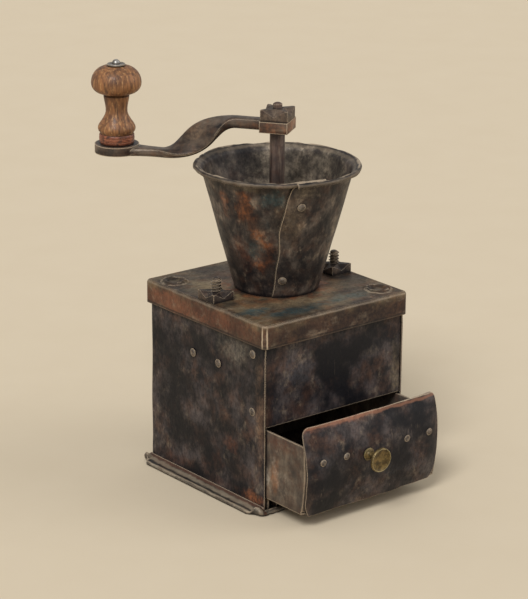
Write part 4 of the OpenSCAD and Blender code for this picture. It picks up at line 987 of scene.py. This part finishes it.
# %% Wood, ring and washer
GRIP_Z, RING_H, WASHER_Z = 236.0, 7.2, 292.9
BULB_TOP, WAIST, KNOB_FOOT, KNOB_MIDDLE = 4.2, 17, 29.4, 37.3


def swing(share):
    """0 to 1 in the curve that a turner's hand swings through."""
    return (1 - math.cos(math.pi * share)) / 2


def wood_radius(z):
    """The handle's radius at a height above its ring."""
    if z < BULB_TOP:
        return 13.6 - 1.8 * (1 - z / BULB_TOP) ** 2
    if z < WAIST:
        return 13.6 - 5.8 * swing(((z - BULB_TOP) / (WAIST - BULB_TOP)) ** 0.85)
    if z < KNOB_FOOT:
        return 7.8 + 1.6 * swing((z - WAIST) / (KNOB_FOOT - WAIST))
    if z < KNOB_MIDDLE:
        below = 1 - (z - KNOB_FOOT) / (KNOB_MIDDLE - KNOB_FOOT)
        return 9.4 + 8.7 * math.sqrt(1 - below ** 2.2)
    return 5.75 + 12.35 * math.sqrt(max(0, 1 - ((z - KNOB_MIDDLE) / 12.1) ** 2.1))


heights = [0.0, 0.5, 1.2, 2.2, 3.4, 4.4, 5.4, 6.6, 8, 9.5, 11, 12.6, 14.2, 16, 18, 20.5, 23, 25,
           26.6, 27.5, 28.0, 28.4, 28.8, 29.2, 29.45, 29.8, 30.5, 31.4, 32.6, 34, 35.6, 37.3, 39,
           40.8, 42.6, 44.2, 45.6, 46.8, 47.8, 48.5, 49.0, 49.3, 49.4]
grooves = {1.2: 0.35, 28.0: 0.45, 28.8: 0.4, 9.5: 0.12}
wood_outline = [(wood_radius(z) - grooves.get(z, 0), GRIP_Z + RING_H + z) for z in heights]
wood = turned("grip_shown", wood_outline, at=(handle_at.x, handle_at.y, 0), sides=72)
seat(wood, "handle_grip")
ring = turned("ring_shown", [
    (11.6, 0), (12.2, 0.3), (12.5, 1.1), (12.65, 2.1), (12.3, 2.4), (12.3, 2.7), (12.75, 3.0),
    (12.8, 4.6), (12.4, 4.9), (12.4, 5.2), (12.7, 5.5), (12.6, 6.6), (12.2, RING_H)],
    at=(handle_at.x, handle_at.y, GRIP_Z))
seat(ring, "handle_ferrule")
washer = turned("washer_shown", [
    (6.2, 0), (6.6, 0.3), (6.6, 0.9), (6.3, 1.2), (4.6, 1.3), (4.4, 1.15), (0.5, 1.15)],
    at=(handle_at.x, handle_at.y, WASHER_Z), sides=40)
seat(washer, "handle_washer")

# %% [markdown]
# ## Bolts with real threads
# Above the nuts the bolts show a coarse thread. A small triangle is wound up a core with the
# Screw modifier, which is how a thread is cut: one groove that climbs by its pitch in a turn.
# The square heads below are discs of four sides, turned by an eighth to stand level.

# %% Threaded bolts
BOLT_R, PITCH, THREAD_DEEP, BOLT_FOOT = 3.6, 2.3, 0.85, 112
bolt_low, bolt_high = mm_box("hold_down_bolts")


def thread(x, tip):
    """A ridge that winds up to a bolt's tip."""
    let_go()
    quarter = math.pi / 2
    bpy.ops.mesh.primitive_circle_add(
        vertices=3, radius=THREAD_DEEP * 1.25 * MM, fill_type="NGON",
        location=((BOLT_R - THREAD_DEEP * 0.95) * MM, 0, 0), rotation=(quarter, quarter, 0))
    ridge = bpy.context.object
    place_in_mesh()
    turns = int((tip - BOLT_FOOT - 1.2) / PITCH)
    modify(ridge, "SCREW", axis="Z", steps=28, screw_offset=PITCH * MM, iterations=turns,
           use_merge_vertices=True, merge_threshold=0.01 * MM)
    ridge.location = (x * MM, 0, (tip - 1.4 - turns * PITCH) * MM)
    place_in_mesh(turned_too=False)
    edit_all()
    face_outwards()
    return smooth(ridge, 30)


def core(x, tip):
    radius = BOLT_R - THREAD_DEEP
    outline = [(radius, BOLT_FOOT), (radius, tip - 0.8), (radius - 0.7, tip - 0.1), (0.4, tip)]
    return turned("bolts_shown", outline, at=(x, 0, 0), sides=32)


def square_head(x, foot):
    head = turned("head", [(5.6, 0), (6.4, 0.6), (6.6, 1.2), (6.6, 3.1), (6.0, 3.8), (4.2, 4.0),
                           (0.4, 4.0)], sides=4, crease=25)
    head.rotation_euler = (0, 0, math.pi / 4)
    head.location = (x * MM, 0, foot * MM)
    pick(head)
    place_in_mesh()
    return head


parts = []
for x in (-BOLT_X, BOLT_X):
    parts += [core(x, bolt_high.z), thread(x, bolt_high.z)]
for x in (-BOLT_X, BOLT_X):
    neck = [(3.55, bolt_low.z + 3.8), (3.55, 139)]
    parts += [square_head(x, bolt_low.z), turned("neck", neck, at=(x, 0, 0), sides=32)]
seat(join("bolts_shown", *parts), "hold_down_bolts")

# %% [markdown]
# ## Rivets
# Each head was hammered down over the sheet, which left a thin collar round a dished crown. One
# outline makes every head. On the side walls the places come from the model's own rivets, whose
# separate solids are found and measured; the others follow the hopper's lap and the drawer.

# %% Places of a node's solids
def solids(node):
    """Lowest and highest corner of each separate solid of a node, in mm."""
    pick(nodes[node])
    bpy.ops.object.duplicate()
    edit_all()
    merge_close(0.002)
    bpy.ops.mesh.separate(type="LOOSE")
    bpy.ops.object.mode_set(mode="OBJECT")
    found = []
    for piece in list(bpy.context.selected_objects):
        corners = [piece.matrix_world @ v.co / MM for v in piece.data.vertices]
        found.append((Vector([min(c[i] for c in corners) for i in range(3)]),
                      Vector([max(c[i] for c in corners) for i in range(3)])))
        bpy.data.objects.remove(piece)
    return sorted(found, key=lambda pair: tuple(pair[0]))


# %% Heads on the side walls
def rivet(name, foot, towards, deep, head=6.2, high=1.4):
    """A hammered head that stands on the sheet at its foot, with its shank behind it."""
    r, shank = head / 2, 1.5
    return turned(name, [
        (shank, -deep), (shank, 0.02), (r - 0.1, 0.02), (r, 0.2), (r - 0.1, 0.45),
        (r * 0.86, 0.55), (r * 0.8, 0.5), (r * 0.72, 0.7), (r * 0.6, high * 0.86),
        (r * 0.42, high * 0.98), (r * 0.2, high * 0.9), (0.1, high * 0.86)],
        at=foot, towards=towards, sides=28, crease=50)


HEAD_X = WALL_X + 0.1
for node in ("corner_rivets", "bridge_rivets"):
    heads = []
    for low, high in solids(node):
        side = 1 if low.x + high.x > 0 else -1
        middle = (low + high) / 2
        deep = HEAD_X - min(abs(low.x), abs(high.x))
        foot = (side * HEAD_X, middle.y, middle.z)
        heads.append(rivet(node + "_shown", foot, (side, 0, 0), deep))
    seat(join(node + "_shown", *heads), node)

# %% Heads on the hopper's lap
LAP_RIVETS = (14, 71.5)
lean = math.atan((MOUTH_R - FOOT_R) / CONE_H)
heads = []
for height in LAP_RIVETS:
    angle = math.radians(FOOT_ANGLE + (TOP_ANGLE - FOOT_ANGLE) * height / HOPPER_H + 10)
    radius = FOOT_R + (MOUTH_R - FOOT_R) * height / CONE_H + HOPPER_T + 0.05
    x, y = math.cos(angle), math.sin(angle)
    out = (x * math.cos(lean), y * math.cos(lean), -math.sin(lean))
    foot = (radius * x, radius * y, LID_TOP + height)
    heads.append(rivet("hopper_rivets_shown", foot, out, deep=3.2, high=1.5))
seat(join("hopper_rivets_shown", *heads), "hopper_rivets")


# %% Heads on the drawer's front
def front_facing(x, z):
    """The way that the bulged front faces at a place, without its lean to the side."""
    return 0, -1, front_y(x, z - 0.5) - front_y(x, z + 0.5)


RIVET_Z = 50
heads = []
for x in (-49, -28, 28, 49):
    foot = (x, front_y(x, RIVET_Z) - 0.05, RIVET_Z)
    out = front_facing(x, RIVET_Z)
    heads.append(rivet("drawer_rivets_shown", foot, out, deep=2.6, head=5.4))
seat(join("drawer_rivets_shown", *heads), "drawer_rivets")

# %% [markdown]
# ## The pull
# A small brass knob with a thin neck and a dished face inside a raised edge.

# %% Pull
PULL_X, PULL_Z = -8, 47
pull = turned("pull_shown", [
    (2, -5.2), (2, -0.2), (4.4, 0), (4.5, 0.8), (3.9, 1.4), (3.1, 1.9), (2.7, 3.6), (2.5, 6),
    (2.6, 8.2), (3.1, 9.6), (4.4, 10.5), (6.4, 11.1), (8.0, 11.6), (8.9, 12.3), (9.0, 12.9),
    (8.8, 13.6), (8.3, 14.0), (7.8, 13.8), (7.3, 13.4), (6.0, 13.1), (4.0, 12.9), (2.0, 12.8),
    (0.4, 12.8)], at=(PULL_X, front_y(PULL_X, PULL_Z), PULL_Z),
    towards=front_facing(PULL_X, PULL_Z), sides=56, crease=50)
seat(pull, "pull_knob")

# %% [markdown]
# ## Softer edges for the forged pieces
# The crank, nuts, shaft and tray already have their real shape in the model. A real edge is
# never razor sharp, though, and a fine bevel is what catches the light. A copy of each is
# merged, its flat triangles are joined, and a narrow bevel follows every sharp edge.

# %% Softened copies
def softened(node, width):
    """Stands a merged copy for a node, with a bevel of a width in mm unless that is 0."""
    pick(nodes[node])
    bpy.ops.object.duplicate()
    piece = bpy.context.object
    piece.name = node + "_shown"
    piece.parent = None
    for key in list(piece.keys()):
        del piece[key]
    edit_all()
    merge_close(0.002)
    bpy.ops.mesh.dissolve_limited(angle_limit=math.radians(0.6))
    bpy.ops.object.mode_set(mode="OBJECT")
    if width:
        bevelled(piece, width, 30, miter_outer="MITER_ARC")
    seat(smooth(piece, 35), node)


for node, width in [("lid_nuts", 0.45), ("crank_nut", 0.45), ("shaft", 0.3), ("crank_arm", 0.5),
                    ("drawer_tray", 0.25), ("handle_spindle", 0)]:
    softened(node, width)

# %% [markdown]
# ## The table, the light and the camera
# The floor is pale paper colour and runs out past the view, so it is the background too. Two
# broad suns and an even sky light it plainly, at a level where a colour comes out about as it
# is written. The camera looks down on the front left corner through a long lens.

# %% Floor
let_go()
bpy.ops.mesh.primitive_plane_add(size=16, location=(0, 0, -0.0002))
floor = bpy.context.object
floor.name = "floor"
ground = Finish("paper")
paper = ground.mix((214, 200, 176), (209, 194, 169), ground.noise(60, detail=6))
floor.data.materials.append(
    ground.feed(Base_Color=paper, Roughness=0.95, Specular_IOR_Level=0.1))


# %% Lights
def sun(name, strength, towards, spread):
    """A sun that shines from a direction; a wider spread, in degrees, softens its shadow."""
    lamp = bpy.data.lights.new(name, "SUN")
    lamp.energy, lamp.angle = strength, math.radians(spread)
    lit = bpy.data.objects.new(name, lamp)
    lit.rotation_euler = Vector(towards).to_track_quat("Z", "Y").to_euler()
    bpy.context.scene.collection.objects.link(lit)


sun("key", 1.9, (-0.9, -0.55, 1.1), 22)
sun("side", 0.7, (1.0, -0.9, 0.7), 40)
world = bpy.data.worlds.new("studio")
world.use_nodes = True
sky = world.node_tree.nodes["Background"].inputs
sky["Color"].default_value = (1, 0.98, 0.95, 1)
sky["Strength"].default_value = 0.5
bpy.context.scene.world = world

# %% Camera
AZIMUTH, ELEVATION, TILT = math.radians(-39.0), math.radians(18.07), math.radians(0.5)
AIM = Vector((-11.4, -0.7, 131.3)) * MM
DISTANCE = 1770 * MM
level = math.cos(ELEVATION)
back = Vector((math.sin(AZIMUTH) * level, -math.cos(AZIMUTH) * level, math.sin(ELEVATION)))
lens = bpy.data.cameras.new("camera")
lens.lens, lens.sensor_width = 148.2, 36
lens.clip_end = 60
camera = bpy.data.objects.new("camera", lens)
camera.location = AIM + back * DISTANCE
tilted = back.to_track_quat("Z", "Y") @ Quaternion((0, 0, 1), TILT)
camera.rotation_euler = tilted.to_euler()
bpy.context.scene.collection.objects.link(camera)
bpy.context.scene.camera = camera
bpy.context.scene.view_settings.view_transform = "Standard"

# %% Updating the scene
bpy.context.view_layer.update()
